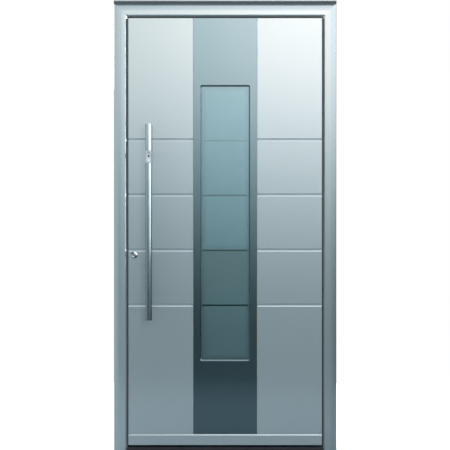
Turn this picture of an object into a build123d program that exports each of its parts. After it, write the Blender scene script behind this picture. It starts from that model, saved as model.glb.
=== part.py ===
from build123d import *
from math import asin, cos, degrees, sin
import os

os.makedirs("parts", exist_ok=True)

# All sizes are in millimetres. X runs along the wall, with the lock side at -X and the hinge side at +X.
# Y runs through the wall, with the street side at -Y, and Z is up from the floor.
# Depths are counted from the frame's street face towards the room.

# Frame: three mitred lengths of one profile, open at the floor
frame_width = 1115.0
frame_height = 2240.0
frame_depth = 80.0
frame_face = 68.0
frame_wall = 2.0
frame_flat = 16.0
frame_crown_radius = 60.0
frame_corner_radius = 16.0
lip_bevel = 10.0
lip_depth = 22.0
rebate_step = 10.0
outer_shell_depth = 34.0
inner_shell_start = 54.0
bar_thickness = 4.0
bar_foot = 7.0
bar_foot_depth = 2.0
cleat_clearance = 0.3
mitre_play = 0.15
frame_cleat_leg = 80.0
fixing_hole_radius = 5.25
fixing_inset = 220.0
fixing_count = 4

# Head joint and cap above the frame
joint_height = 9.0
joint_setback = 12.0
cap_height = 13.0
cap_edge = 2.0

# Threshold between the jambs
threshold_height = 20.0
threshold_rail_height = 8.0
threshold_play = 0.3
threshold_groove_width = 3.0
threshold_groove_depth = 1.2
threshold_groove_pitch = 9.0
threshold_groove_count = 5
threshold_nose = 4.0

# Leaf: an infill that overlays its profile on the street side
side_gap = 6.0
top_gap = 8.0
bottom_gap = 10.5
rebate_gap = 6.0
body_bottom_gap = 8.0
overlay_depth = 27.0
skin = 3.0
leaf_profile_width = 70.0
leaf_wall = 2.0
leaf_outer_end = 44.0
leaf_inner_start = 56.0
hardware_groove_depth = 3.0
hardware_groove_width = 20.6
leaf_cleat_leg = 120.0
edge_frame_width = 14.0
infill_play = 0.5
infill_back = 62.0
inner_skin = 2.0
bead_width = 14.0

# Street face of the leaf
strip_width = 319.0
strip_joint = 1.6
bottom_cover_height = 53.0
bottom_cover_proud = 3.0
bottom_cover_bevel = 5.5
bottom_joint = 1.5
groove_first = 729.5
groove_pitch = 275.1
groove_count = 4
groove_width = 16.0
groove_floor = 5.0
groove_depth = 3.5

# Window in the centre strip
window_width = 242.0
window_height = 1372.0
window_bottom = 454.0
window_corner = 5.0
reveal_wall = 4.0
reveal_bevel = 3.7
reveal_play = 0.2
glass_recess = 22.0
glass_lap = 10.0
glass_play = 0.5
gasket_thickness = 3.0
pane_thickness = 4.0
pane_space = 12.0
spacer_width = 8.0
window_flange = 12.0
window_flange_thickness = 2.0
window_flange_bed = 0.2

# Seals
stop_gasket_width = 7.0
stop_gasket_inset = 1.5
seal_play = 0.3
bottom_seal_thickness = 6.0
bottom_seal_depth = 46.0
bottom_seal_float = 0.6

# Hinges on the room face
hinge_inset = 210.0
hinge_length = 90.0
hinge_standoff = 14.0
hinge_barrel_radius = 9.0
hinge_pin_radius = 4.0
hinge_fit = 0.04
hinge_plate = 4.0
hinge_plate_width = 46.0
hinge_knuckle_gap = 0.4
hinge_cap_height = 3.0
hinge_screw_pitch = 32.0

# Lock
lock_depth = 68.0
lock_backset = 38.5
cylinder_height = 980.0
spindle_rise = 92.0
latch_rise = 28.0
latch_size = (36.0, 12.0, 30.0)
latch_throw = 12.0
bolt_throw = 20.0
dead_bolt_size = (50.0, 12.0, 36.0)
dead_bolt_rise = 40.0
side_bolt_size = (40.0, 12.0, 26.0)
side_bolts_below = 650.0
side_bolts_above = 720.0
bolt_play = 0.3
case_wall = 1.5
case_depth = 60.5
case_below = 32.0
case_above = 63.0
side_case_depth = 50.0
side_case_height = 110.0
faceplate_thickness = 3.0
faceplate_width = 20.0
faceplate_overrun = 145.0
face_screw_inset = 12.0
face_screw_case_gap = 20.0
face_screw_bolt_gap = 90.0
rod_thickness = 3.0
rod_travel = 18.0
rod_end_gap = 4.0

# Profile cylinder
barrel_radius = 8.5
lobe_width = 10.0
lobe_drop = 24.5
plug_radius = 6.5
plug_fit = 0.05
cylinder_inner_end = 95.0
cylinder_nose = 6.0
cam_width = 10.0
cam_reach = 15.0
cam_lobe = 8.0
cam_play = 0.3
keyway_width = 2.6
keyway_height = 8.0
keyway_depth = 18.0
rosette_radius = 16.5
rosette_depth = 7.0
rosette_bevel = 5.0

# Lever and its plate on the room side
handle_plate_width = 34.0
handle_plate_height = 235.0
handle_plate_thickness = 10.0
lever_neck_radius = 9.0
lever_reach = 62.0
lever_length = 135.0
lever_radius = 9.5
spindle_size = 10.0
follower_radius = 11.0
follower_arm = 18.0

# Keeps in the lock jamb
keep_thickness = 2.5
keep_width = 20.0
keep_margin = 34.0
keep_screw_inset = 12.0
pocket_play = 1.0
pocket_depth = 24.0
notch_play = 6.0
jaw_length = 8.0
jaw_thickness = 5.0
jaw_heel = 2.8
jaw_pin_radius = 2.5
jaw_pin_fit = 0.05
jaw_height = 34.0
jaw_side_play = 0.4
ear_thickness = 6.0
opener_depth = 16.0

# Pull bar on the street side
bar_radius = 16.5
bar_wall = 2.0
bar_inset = 104.5
bar_bottom = 657.0
bar_top = 1632.0
bar_standoff = 65.0
bar_cap = 3.0
bar_cap_spigot = 8.0
standoff_inset = 150.0
standoff_radius = 9.0
standoff_foot_radius = 14.0
standoff_foot = 4.0
standoff_stud_radius = 4.0
standoff_stud = 30.0
stud_play = 0.2

# Fingerprint reader let into the pull bar
reader_bottom = 1438.0
reader_height = 62.0
reader_radius = 15.0
reader_play = 0.3
sensor_rise = 33.5
sensor_radius = 5.0
sensor_sink = 0.8
sensor_thickness = 4.0
sensor_ring_radius = 11.5
sensor_ring_bevel = 1.2
reader_band = 6.0
scoop_depth = 3.4

# Screws
screw_radius = 2.5
screw_head_radius = 4.4
screw_length = 12.0
screw_play = 0.1

# Lines and planes that several pieces share
crown_start = lip_bevel + frame_flat
crown_rise = frame_face - crown_start - frame_corner_radius
crown_turn = asin(crown_rise / (frame_crown_radius - frame_corner_radius))
crown_drop = frame_crown_radius * (1 - cos(crown_turn))
edge_drop = crown_drop + frame_corner_radius * cos(crown_turn)
street_y = -frame_depth / 2
half_frame = frame_width / 2
lip_x = half_frame - frame_face
lip_z = frame_height - frame_face
rebate_x = lip_x + rebate_step
fixing_pitch = (frame_height - 2 * fixing_inset) / (fixing_count - 1)
rebate_z = lip_z + rebate_step
leaf_x = lip_x - side_gap
bar_x = -(leaf_x - bar_inset)
leaf_top = lip_z - top_gap
leaf_bottom = threshold_height + bottom_gap
body_x = rebate_x - rebate_gap
body_top = rebate_z - rebate_gap
body_bottom = threshold_height + body_bottom_gap
body_middle = (body_top + body_bottom) / 2
block_x = body_x - leaf_profile_width
block_top = body_top - leaf_profile_width
block_bottom = body_bottom + leaf_profile_width
window_top = window_bottom + window_height
window_middle = (window_top + window_bottom) / 2
reveal_size = (window_width + 2 * reveal_wall, window_height + 2 * reveal_wall)
unit_width = window_width + 2 * glass_lap
unit_height = window_height + 2 * glass_lap
unit_front = glass_recess
reveal_back = glass_recess - gasket_thickness
unit_back = unit_front + 3 * pane_thickness + 2 * pane_space
cover_top = leaf_bottom + bottom_cover_height
panel_bottom = cover_top + bottom_joint
edge_x = body_x - hardware_groove_depth
lock_x = -(body_x - lock_backset)
spindle_z = cylinder_height + spindle_rise
latch_z = spindle_z + latch_rise
dead_bolt_z = cylinder_height + dead_bolt_rise
side_bolt_heights = (cylinder_height - side_bolts_below, cylinder_height + side_bolts_above)
case_bottom = cylinder_height - case_below
case_top = spindle_z + case_above
faceplate_bottom = side_bolt_heights[0] - faceplate_overrun
faceplate_top = side_bolt_heights[1] + faceplate_overrun
hinge_x = (rebate_x + body_x) / 2
hinge_depth = frame_depth + hinge_standoff
hinge_heights = (body_bottom + hinge_inset, body_middle, body_top - hinge_inset)


def facing(depth):
    """A plane across the wall at a depth, with its normal towards the street."""
    return Plane.XZ.offset(frame_depth / 2 - depth)


def mitre(corner_x, corner_z, toward_x, toward_z, play=0.0):
    """The plane that halves a corner, with its normal towards the member that stays."""
    cut = Plane(origin=(corner_x, 0, corner_z), z_dir=(toward_x, 0, toward_z))
    return cut.offset(play)


def slab(x, z, depth):
    """A flat block from x[0] to x[1] and z[0] to z[1], between two depths."""
    with BuildPart() as block:
        with BuildSketch(facing(depth[1])):
            with Locations(((x[0] + x[1]) / 2, (z[0] + z[1]) / 2)):
                Rectangle(x[1] - x[0], z[1] - z[0])
        extrude(amount=depth[1] - depth[0])
    return block.part


def ring(outer, inner, middle, depth, radius=0):
    """A rectangular frame between two depths, its inner corners rounded."""
    with BuildPart() as frame:
        with BuildSketch(facing(depth[1])):
            with Locations(middle):
                Rectangle(*outer)
                if radius > 0:
                    RectangleRounded(*inner, radius, mode=Mode.SUBTRACT)
                else:
                    Rectangle(*inner, mode=Mode.SUBTRACT)
        extrude(amount=depth[1] - depth[0])
    return frame.part


def member(section, outward, middle, length, cuts, play=0.0):
    """A length of profile: its section's x runs outward and y through the wall, and its ends are cut."""
    along = Vector(*outward).cross(Vector(0, 1, 0))
    with BuildPart() as bar:
        with BuildSketch(Plane(origin=middle, x_dir=outward, z_dir=along)):
            add(section)
        extrude(amount=length / 2, both=True)
        for cut in cuts:
            split(bisect_by=cut.offset(play), keep=Keep.TOP)
    return bar.part


def save(piece, name):
    piece.label = name
    export_step(piece, f"parts/{name}.step")


# Screws: countersunk heads, set along X or Y
screw_spots = [
    (step * hinge_screw_pitch, shift)
    for step, shift in ((-1, 0.5), (0, 0.75), (1, 0.5))
]


def hinge_screw_places(side):
    near = hinge_x + side * (hinge_barrel_radius - 2.5)
    return [
        (near + side * shift * hinge_plate_width, z + step)
        for z in hinge_heights
        for step, shift in screw_spots
    ]


def room_screws(places, depth):
    """Countersunk screws into the room face, their heads flush at a depth."""
    with BuildPart() as screws:
        with BuildSketch(facing(depth)):
            with Locations(*places):
                Circle(screw_head_radius)
        extrude(amount=screw_head_radius - screw_radius, taper=45)
        with BuildSketch(facing(depth)):
            with Locations(*places):
                Circle(screw_radius)
        extrude(amount=screw_length)
    return screws.part


def room_screw_holes(places, depth):
    """The same forms with play, to be cut away."""
    with BuildPart() as holes:
        with BuildSketch(facing(depth)):
            with Locations(*places):
                Circle(screw_head_radius + screw_play)
        extrude(amount=screw_head_radius - screw_radius, taper=45)
        with BuildSketch(facing(depth)):
            with Locations(*places):
                Circle(screw_radius + screw_play)
        extrude(amount=screw_length + 1)
    return holes.part


def edge_screws(places, x, side, grow=0.0):
    """Countersunk screws into a rebate, heads flush at x, pointing to the side given."""
    with BuildPart() as screws:
        with BuildSketch(Plane(origin=(x, 0, 0), x_dir=(0, 1, 0), z_dir=(side, 0, 0))):
            with Locations(*[(street_y + lock_depth, side * z) for z in places]):
                Circle(screw_head_radius + grow)
        extrude(amount=screw_head_radius - screw_radius, taper=45)
        with BuildSketch(Plane(origin=(x, 0, 0), x_dir=(0, 1, 0), z_dir=(side, 0, 0))):
            with Locations(*[(street_y + lock_depth, side * z) for z in places]):
                Circle(screw_radius + grow)
        extrude(amount=screw_length)
    return screws.part


# Where the screws sit
wing_face = frame_depth + hinge_plate
plate_back = frame_depth + handle_plate_thickness
handle_plate_middle = (spindle_z + cylinder_height) / 2
plate_screw_places = [
    (lock_x, handle_plate_middle + side * (handle_plate_height / 2 - 14)) for side in (-1, 1)
]
frame_hinge_screws = hinge_screw_places(1)
leaf_hinge_screws = hinge_screw_places(-1)
face_screw_heights = [
    faceplate_bottom + face_screw_inset,
    side_bolt_heights[0] + face_screw_bolt_gap,
    case_bottom - face_screw_case_gap,
    case_top + face_screw_case_gap,
    side_bolt_heights[1] - face_screw_bolt_gap,
    faceplate_top - face_screw_inset,
]
notch_height = jaw_height + 2 * (jaw_side_play + ear_thickness + bolt_play)
keep_face = -rebate_x + keep_thickness
keep_span = (dead_bolt_z - dead_bolt_size[2] / 2 - keep_margin, latch_z + notch_height / 2 + keep_margin)
keep_depth = (lock_depth - keep_width / 2, lock_depth + keep_width / 2)
side_keep_half = side_bolt_size[2] / 2 + keep_margin
keep_screw_heights = [keep_span[0] + keep_screw_inset, keep_span[1] - keep_screw_inset]
keep_screw_heights += [
    z + side * (side_keep_half - keep_screw_inset)
    for z in side_bolt_heights
    for side in (-1, 1)
]
keep_screw_holes = edge_screws(keep_screw_heights, keep_face, -1, screw_play)


# Frame profile: outer shell with a bevelled stop lip and a rounded outer edge, and a plain inner shell
with BuildSketch() as frame_outline:
    with BuildLine():
        Line((lip_bevel, 0), (crown_start, 0))
        crown = JernArc((crown_start, 0), (1, 0), frame_crown_radius, degrees(crown_turn))
        edge = JernArc(crown @ 1, crown % 1, frame_corner_radius, 90 - degrees(crown_turn))
        Polyline(
            edge @ 1,
            (frame_face, outer_shell_depth),
            (rebate_step, outer_shell_depth),
            (rebate_step, lip_depth),
            (0, lip_depth),
            (0, lip_bevel),
            (lip_bevel, 0),
        )
    make_face()
with BuildSketch() as frame_section:
    add(frame_outline.sketch)
    offset(amount=-frame_wall, mode=Mode.SUBTRACT)
    with Locations((rebate_step, inner_shell_start)):
        Rectangle(
            frame_face - rebate_step,
            frame_depth - inner_shell_start,
            align=(Align.MIN, Align.MIN),
        )
    with Locations((rebate_step + frame_wall, inner_shell_start + frame_wall)):
        Rectangle(
            frame_face - rebate_step - 2 * frame_wall,
            frame_depth - inner_shell_start - 2 * frame_wall,
            align=(Align.MIN, Align.MIN),
            mode=Mode.SUBTRACT,
        )


def insulating_section(start, end, near, far):
    """Two footed bars between the shells, flush with both edges of the profile."""
    with BuildSketch() as bars:
        for edge, side in ((near, 1), (far, -1)):
            with BuildLine():
                Polyline(
                    (edge, start),
                    (edge + side * bar_foot, start),
                    (edge + side * bar_foot, start + bar_foot_depth),
                    (edge + side * bar_thickness, start + bar_foot_depth),
                    (edge + side * bar_thickness, end - bar_foot_depth),
                    (edge + side * bar_foot, end - bar_foot_depth),
                    (edge + side * bar_foot, end),
                    (edge, end),
                    (edge, start),
                )
            make_face()
    return bars.sketch


frame_bars = insulating_section(
    outer_shell_depth, inner_shell_start, rebate_step, frame_face
)
jamb_middle = frame_height / 2
frame_places = {
    "frame_hinge_jamb": (
        (1, 0, 0),
        (lip_x, street_y, jamb_middle),
        frame_height,
        [mitre(lip_x, lip_z, 1, -1)],
    ),
    "frame_lock_jamb": (
        (-1, 0, 0),
        (-lip_x, street_y, jamb_middle),
        frame_height,
        [mitre(-lip_x, lip_z, -1, -1)],
    ),
    "frame_head": (
        (0, 0, 1),
        (0, street_y, lip_z),
        frame_width,
        [mitre(lip_x, lip_z, -1, 1), mitre(-lip_x, lip_z, 1, 1)],
    ),
}


def pocket(z, height, depth, reach=pocket_depth):
    """The space that a cut-out in the lock jamb takes, from the rebate outward."""
    return slab(
        (-rebate_x - reach, -rebate_x + keep_thickness + 1),
        (z - height / 2, z + height / 2),
        depth,
    )


bolt_span = (
    lock_depth - dead_bolt_size[1] / 2 - pocket_play,
    lock_depth + dead_bolt_size[1] / 2 + pocket_play,
)
dead_pocket = pocket(dead_bolt_z, dead_bolt_size[2] + 2 * pocket_play, bolt_span)
side_pockets = [
    pocket(z, side_bolt_size[2] + 2 * pocket_play, bolt_span) for z in side_bolt_heights
]
# The latch's pocket is open towards the room, where the opener's jaw closes it
jaw_x = -rebate_x - jaw_length - jaw_thickness / 2
jaw_depth = frame_depth - jaw_thickness / 2 - bolt_play
notch_x = jaw_x - notch_play
latch_notch = slab(
    (notch_x, -rebate_x + keep_thickness + 1),
    (latch_z - notch_height / 2, latch_z + notch_height / 2),
    (bolt_span[0], frame_depth + 1),
)
with BuildPart() as frame_hinge_jamb:
    add(member(frame_section.sketch, *frame_places["frame_hinge_jamb"]))
    add(room_screw_holes(frame_hinge_screws, wing_face), mode=Mode.SUBTRACT)
with BuildPart() as frame_lock_jamb:
    add(member(frame_section.sketch, *frame_places["frame_lock_jamb"]))
    add([latch_notch, dead_pocket, keep_screw_holes], mode=Mode.SUBTRACT)
    add(side_pockets, mode=Mode.SUBTRACT)
with BuildPart() as frame_head:
    add(member(frame_section.sketch, *frame_places["frame_head"]))

bar_middle_y = (outer_shell_depth + inner_shell_start) / 2 + street_y
with BuildPart() as frame_insulating_bars:
    for place in frame_places.values():
        add(member(frame_bars, *place, mitre_play))
    with BuildSketch(Plane.YZ) as fixing_holes:
        with Locations((bar_middle_y, frame_height / 2)):
            with GridLocations(0, fixing_pitch, 1, fixing_count):
                Circle(fixing_hole_radius)
    extrude(amount=half_frame + 1, both=True, mode=Mode.SUBTRACT)


def cleat(corner, inward, near, far, leg, depth):
    """An angled block inside two mitred lengths. Its sizes are counted from the corner."""
    with BuildPart() as block:
        with BuildSketch(facing(depth[1])):
            with BuildLine():
                Polyline(
                    *[
                        (corner[0] + inward[0] * a, corner[1] + inward[1] * b)
                        for a, b in (
                            (near, near),
                            (leg, near),
                            (leg, far),
                            (far, far),
                            (far, leg),
                            (near, leg),
                            (near, near),
                        )
                    ]
                )
            make_face()
        extrude(amount=depth[1] - depth[0])
    return block.part


cleat_gap = frame_wall + cleat_clearance
with BuildPart() as frame_corner_cleats:
    for side in (-1, 1):
        corner = (side * half_frame, frame_height)
        add(
            cleat(
                corner,
                (-side, -1),
                cleat_gap + frame_corner_radius * (1 - sin(crown_turn)),
                frame_face - rebate_step - cleat_gap,
                frame_face + frame_cleat_leg,
                (crown_drop + cleat_gap, outer_shell_depth - cleat_gap),
            )
        )
        add(
            cleat(
                corner,
                (-side, -1),
                cleat_gap,
                frame_face - rebate_step - cleat_gap,
                frame_face + frame_cleat_leg,
                (inner_shell_start + cleat_gap, frame_depth - cleat_gap),
            )
        )

# Stop gasket behind the lip, along the jambs and the head
gasket_x = lip_x + stop_gasket_inset + stop_gasket_width
gasket_z = lip_z + stop_gasket_inset + stop_gasket_width
with BuildPart() as frame_stop_gasket:
    with BuildSketch(facing(overlay_depth - seal_play)):
        with Locations((0, threshold_height)):
            Rectangle(
                2 * gasket_x,
                gasket_z - threshold_height,
                align=(Align.CENTER, Align.MIN),
            )
            Rectangle(
                2 * (gasket_x - stop_gasket_width),
                gasket_z - threshold_height - stop_gasket_width,
                align=(Align.CENTER, Align.MIN),
                mode=Mode.SUBTRACT,
            )
    extrude(amount=overlay_depth - seal_play - lip_depth)
    room_edges = frame_stop_gasket.faces().sort_by(Axis.Y)[-1].edges()
    chamfer(room_edges.filter_by(Axis.Z), length=1.5)

# Joint and cap over the head
with BuildSketch() as joint_section:
    with Locations((frame_face + joint_height, joint_setback)):
        Rectangle(
            joint_height + edge_drop,
            frame_depth - joint_setback,
            align=(Align.MAX, Align.MIN),
        )
    with BuildSketch(mode=Mode.SUBTRACT):
        add(frame_outline.sketch)
        offset(amount=cleat_clearance, kind=Kind.INTERSECTION)
    with Locations((frame_face, edge_drop)):
        Rectangle(
            frame_face,
            frame_depth,
            align=(Align.MAX, Align.MIN),
            mode=Mode.SUBTRACT,
        )
with BuildPart() as head_joint_strip:
    add(member(joint_section.sketch, (0, 0, 1), (0, street_y, lip_z), frame_width, []))
with BuildPart() as head_cap:
    with BuildSketch(Plane.YZ.offset(-half_frame)):
        with Locations((street_y, frame_height + joint_height)):
            Rectangle(frame_depth, cap_height, align=(Align.MIN, Align.MIN))
        with Locations(
            (street_y + frame_wall, frame_height + joint_height + frame_wall)
        ):
            Rectangle(
                frame_depth - 2 * frame_wall,
                cap_height - 2 * frame_wall,
                align=(Align.MIN, Align.MIN),
                mode=Mode.SUBTRACT,
            )
    extrude(amount=frame_width)
    fillet(head_cap.edges().filter_by(Axis.X).group_by(Axis.Y)[0], radius=cap_edge)

# Threshold: an insulating core, a grooved metal rail and sealing blocks in the rebates
threshold_x = lip_x - threshold_play
rail_bottom = threshold_height - threshold_rail_height
with BuildPart() as threshold_core:
    with BuildSketch(Plane.XY):
        Rectangle(2 * threshold_x, frame_depth)
    extrude(amount=rail_bottom)
with BuildPart() as threshold_rail:
    with BuildSketch(Plane.YZ.offset(-threshold_x)):
        with BuildLine():
            Polyline(
                (street_y, rail_bottom),
                (street_y + frame_depth, rail_bottom),
                (street_y + frame_depth, threshold_height),
                (street_y + threshold_nose, threshold_height),
                (street_y, threshold_height - threshold_nose),
                (street_y, rail_bottom),
            )
        make_face()
        with Locations((0, threshold_height)):
            with GridLocations(threshold_groove_pitch, 0, threshold_groove_count, 1):
                Rectangle(
                    threshold_groove_width,
                    2 * threshold_groove_depth,
                    mode=Mode.SUBTRACT,
                )
    extrude(amount=2 * threshold_x)
with BuildPart() as threshold_end_blocks:
    for side in (-1, 1):
        ends = sorted((side * lip_x, side * (rebate_x - threshold_play)))
        add(slab(ends, (0, threshold_height), (lip_depth + seal_play, frame_depth)))

# Leaf profile: two shells, the inner one grooved along its edge for the lock's hardware
with BuildSketch() as leaf_section:
    with Locations((0, overlay_depth)):
        Rectangle(
            leaf_profile_width,
            leaf_outer_end - overlay_depth,
            align=(Align.MIN, Align.MIN),
        )
    with Locations((leaf_wall, overlay_depth + leaf_wall)):
        Rectangle(
            leaf_profile_width - 2 * leaf_wall,
            leaf_outer_end - overlay_depth - 2 * leaf_wall,
            align=(Align.MIN, Align.MIN),
            mode=Mode.SUBTRACT,
        )
    with Locations((0, leaf_inner_start)):
        Rectangle(
            leaf_profile_width,
            frame_depth - leaf_inner_start,
            align=(Align.MIN, Align.MIN),
        )
    with Locations((0, lock_depth)):
        Rectangle(
            hardware_groove_depth,
            hardware_groove_width,
            align=(Align.MIN, Align.CENTER),
            mode=Mode.SUBTRACT,
        )
    with Locations((hardware_groove_depth + leaf_wall, leaf_inner_start + leaf_wall)):
        Rectangle(
            leaf_profile_width - hardware_groove_depth - 2 * leaf_wall,
            frame_depth - leaf_inner_start - 2 * leaf_wall,
            align=(Align.MIN, Align.MIN),
            mode=Mode.SUBTRACT,
        )
leaf_bars = insulating_section(leaf_outer_end, leaf_inner_start, 0, leaf_profile_width)
body_height = body_top - body_bottom
leaf_places = {
    "leaf_hinge_stile": (
        (-1, 0, 0),
        (body_x, street_y, body_middle),
        body_height,
        [mitre(body_x, body_top, 1, -1), mitre(body_x, body_bottom, 1, 1)],
    ),
    "leaf_lock_stile": (
        (1, 0, 0),
        (-body_x, street_y, body_middle),
        body_height,
        [mitre(-body_x, body_top, -1, -1), mitre(-body_x, body_bottom, -1, 1)],
    ),
    "leaf_top_rail": (
        (0, 0, -1),
        (0, street_y, body_top),
        2 * body_x,
        [mitre(body_x, body_top, -1, 1), mitre(-body_x, body_top, 1, 1)],
    ),
    "leaf_bottom_rail": (
        (0, 0, 1),
        (0, street_y, body_bottom),
        2 * body_x,
        [mitre(body_x, body_bottom, -1, -1), mitre(-body_x, body_bottom, 1, -1)],
    ),
}

# Outlines of the lock's pieces where they pass through the leaf
case_half = dead_bolt_size[1] / 2 + 0.2 + case_wall
case_x = (-edge_x, -edge_x + case_depth)
side_case_x = (-edge_x, -edge_x + side_case_depth)
side_case_spans = [
    (z - side_case_height / 2, z + side_case_height / 2) for z in side_bolt_heights
]


def cylinder_profile(depth_from, depth_to, grow=0.0):
    """The keyhole-shaped outline of the cylinder's body, between two depths."""
    with BuildPart() as shape:
        with BuildSketch(facing(depth_to)):
            with Locations((lock_x, cylinder_height)):
                Circle(barrel_radius + grow)
                with Locations((0, -(lobe_drop - lobe_width / 2) / 2)):
                    Rectangle(lobe_width + 2 * grow, lobe_drop - lobe_width / 2)
                with Locations((0, -(lobe_drop - lobe_width / 2))):
                    Circle(lobe_width / 2 + grow)
        extrude(amount=depth_to - depth_from)
    return shape.part


def round_bore(x, z, radius, depth_from, depth_to):
    """A round bar or bore through the wall, between two depths."""
    with BuildPart() as shape:
        with BuildSketch(facing(depth_to)):
            with Locations((x, z)):
                Circle(radius)
        extrude(amount=depth_to - depth_from)
    return shape.part


cylinder_hole = cylinder_profile(skin, frame_depth + 1, bolt_play)
spindle_hole = round_bore(lock_x, spindle_z, spindle_size * 0.8, leaf_inner_start + 4, frame_depth + 1)
case_hole = slab(
    (-edge_x - 1, -edge_x + leaf_wall + 1),
    (case_bottom - bolt_play, case_top + bolt_play),
    (lock_depth - case_half - bolt_play, lock_depth + case_half + bolt_play),
)
side_case_holes = [
    slab(
        (-edge_x - 1, -edge_x + leaf_wall + 1),
        (span[0] - bolt_play, span[1] + bolt_play),
        (lock_depth - case_half - bolt_play, lock_depth + case_half + bolt_play),
    )
    for span in side_case_spans
]
with BuildPart() as leaf_hinge_stile:
    add(member(leaf_section.sketch, *leaf_places["leaf_hinge_stile"]))
    add(room_screw_holes(leaf_hinge_screws, wing_face), mode=Mode.SUBTRACT)
with BuildPart() as leaf_lock_stile:
    add(member(leaf_section.sketch, *leaf_places["leaf_lock_stile"]))
    add([cylinder_hole, spindle_hole, case_hole], mode=Mode.SUBTRACT)
    add(side_case_holes, mode=Mode.SUBTRACT)
    add(edge_screws(face_screw_heights, -body_x, 1, screw_play), mode=Mode.SUBTRACT)
    add(room_screw_holes(plate_screw_places, plate_back), mode=Mode.SUBTRACT)
with BuildPart() as leaf_top_rail:
    add(member(leaf_section.sketch, *leaf_places["leaf_top_rail"]))
with BuildPart() as leaf_bottom_rail:
    add(member(leaf_section.sketch, *leaf_places["leaf_bottom_rail"]))
with BuildPart() as leaf_insulating_bars:
    for place in leaf_places.values():
        add(member(leaf_bars, *place, mitre_play))

leaf_cleat_gap = leaf_wall + cleat_clearance
with BuildPart() as leaf_corner_cleats:
    for side in (-1, 1):
        for z, up in ((body_bottom, 1), (body_top, -1)):
            add(
                cleat(
                    (side * body_x, z),
                    (-side, up),
                    leaf_cleat_gap,
                    leaf_profile_width - leaf_cleat_gap,
                    leaf_cleat_leg,
                    (overlay_depth + leaf_cleat_gap, leaf_outer_end - leaf_cleat_gap),
                )
            )
            add(
                cleat(
                    (side * body_x, z),
                    (-side, up),
                    hardware_groove_depth + leaf_cleat_gap,
                    leaf_profile_width - leaf_cleat_gap,
                    leaf_cleat_leg,
                    (leaf_inner_start + leaf_cleat_gap, frame_depth - leaf_cleat_gap),
                )
            )
    add(edge_screws(face_screw_heights, -body_x, 1, screw_play), mode=Mode.SUBTRACT)

# Street skin of the leaf: side panels with pressed grooves, a centre strip and a bottom cover
groove_heights = [groove_first + groove_pitch * i for i in range(groove_count)]


def pressed_line(depth):
    """The line of a side panel's face up the leaf, with its grooves."""
    points = [(street_y + depth, panel_bottom)]
    for z in groove_heights:
        points.append((street_y + depth, z - groove_width / 2))
        points.append((street_y + depth + groove_depth, z - groove_floor / 2))
        points.append((street_y + depth + groove_depth, z + groove_floor / 2))
        points.append((street_y + depth, z + groove_width / 2))
    points.append((street_y + depth, leaf_top))
    return points


def side_panel(x_from, x_to):
    """One sheet with the same line on its face and its back."""
    with BuildPart() as sheet:
        with BuildSketch(Plane.YZ.offset(x_from)):
            with BuildLine():
                Polyline(*pressed_line(0), *reversed(pressed_line(skin)), close=True)
            make_face()
        extrude(amount=x_to - x_from)
    return sheet.part


def groove_runs(half_width):
    """The spaces that the backs of the pressed grooves take behind the sheets."""
    with BuildPart() as runs:
        with BuildSketch(Plane.YZ.offset(-half_width)):
            for z in groove_heights:
                with BuildLine():
                    Polyline(
                        (street_y + skin, z - groove_width / 2),
                        (street_y + skin + groove_depth, z - groove_floor / 2),
                        (street_y + skin + groove_depth, z + groove_floor / 2),
                        (street_y + skin, z + groove_width / 2),
                        close=True,
                    )
                make_face()
        extrude(amount=2 * half_width)
    return runs.part


stud_heights = (bar_bottom + standoff_inset, bar_top - standoff_inset)
stud_holes = [
    round_bore(bar_x, z, standoff_stud_radius + stud_play, -1, standoff_stud + stud_play)
    for z in stud_heights
]
panel_x = strip_width / 2 + strip_joint
with BuildPart() as panel_lock_side:
    add(side_panel(-leaf_x, -panel_x))
    add(round_bore(lock_x, cylinder_height, barrel_radius + bolt_play, -1, skin + 1), mode=Mode.SUBTRACT)
    add(stud_holes, mode=Mode.SUBTRACT)
with BuildPart() as panel_hinge_side:
    add(side_panel(panel_x, leaf_x))
with BuildPart() as centre_strip:
    with BuildSketch(facing(skin)):
        with Locations((0, (leaf_top + panel_bottom) / 2)):
            Rectangle(strip_width, leaf_top - panel_bottom)
        with Locations((0, window_middle)):
            RectangleRounded(
                reveal_size[0] + 2 * reveal_play,
                reveal_size[1] + 2 * reveal_play,
                window_corner + reveal_wall,
                mode=Mode.SUBTRACT,
            )
    extrude(amount=skin)
with BuildPart() as bottom_cover:
    with BuildSketch(Plane.YZ.offset(-leaf_x)):
        with BuildLine():
            Polyline(
                (street_y + skin, leaf_bottom),
                (street_y + skin, cover_top),
                (street_y, cover_top),
                (street_y - bottom_cover_proud, cover_top - bottom_cover_bevel),
                (street_y - bottom_cover_proud, leaf_bottom),
                close=True,
            )
        make_face()
    extrude(amount=2 * leaf_x)

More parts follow.
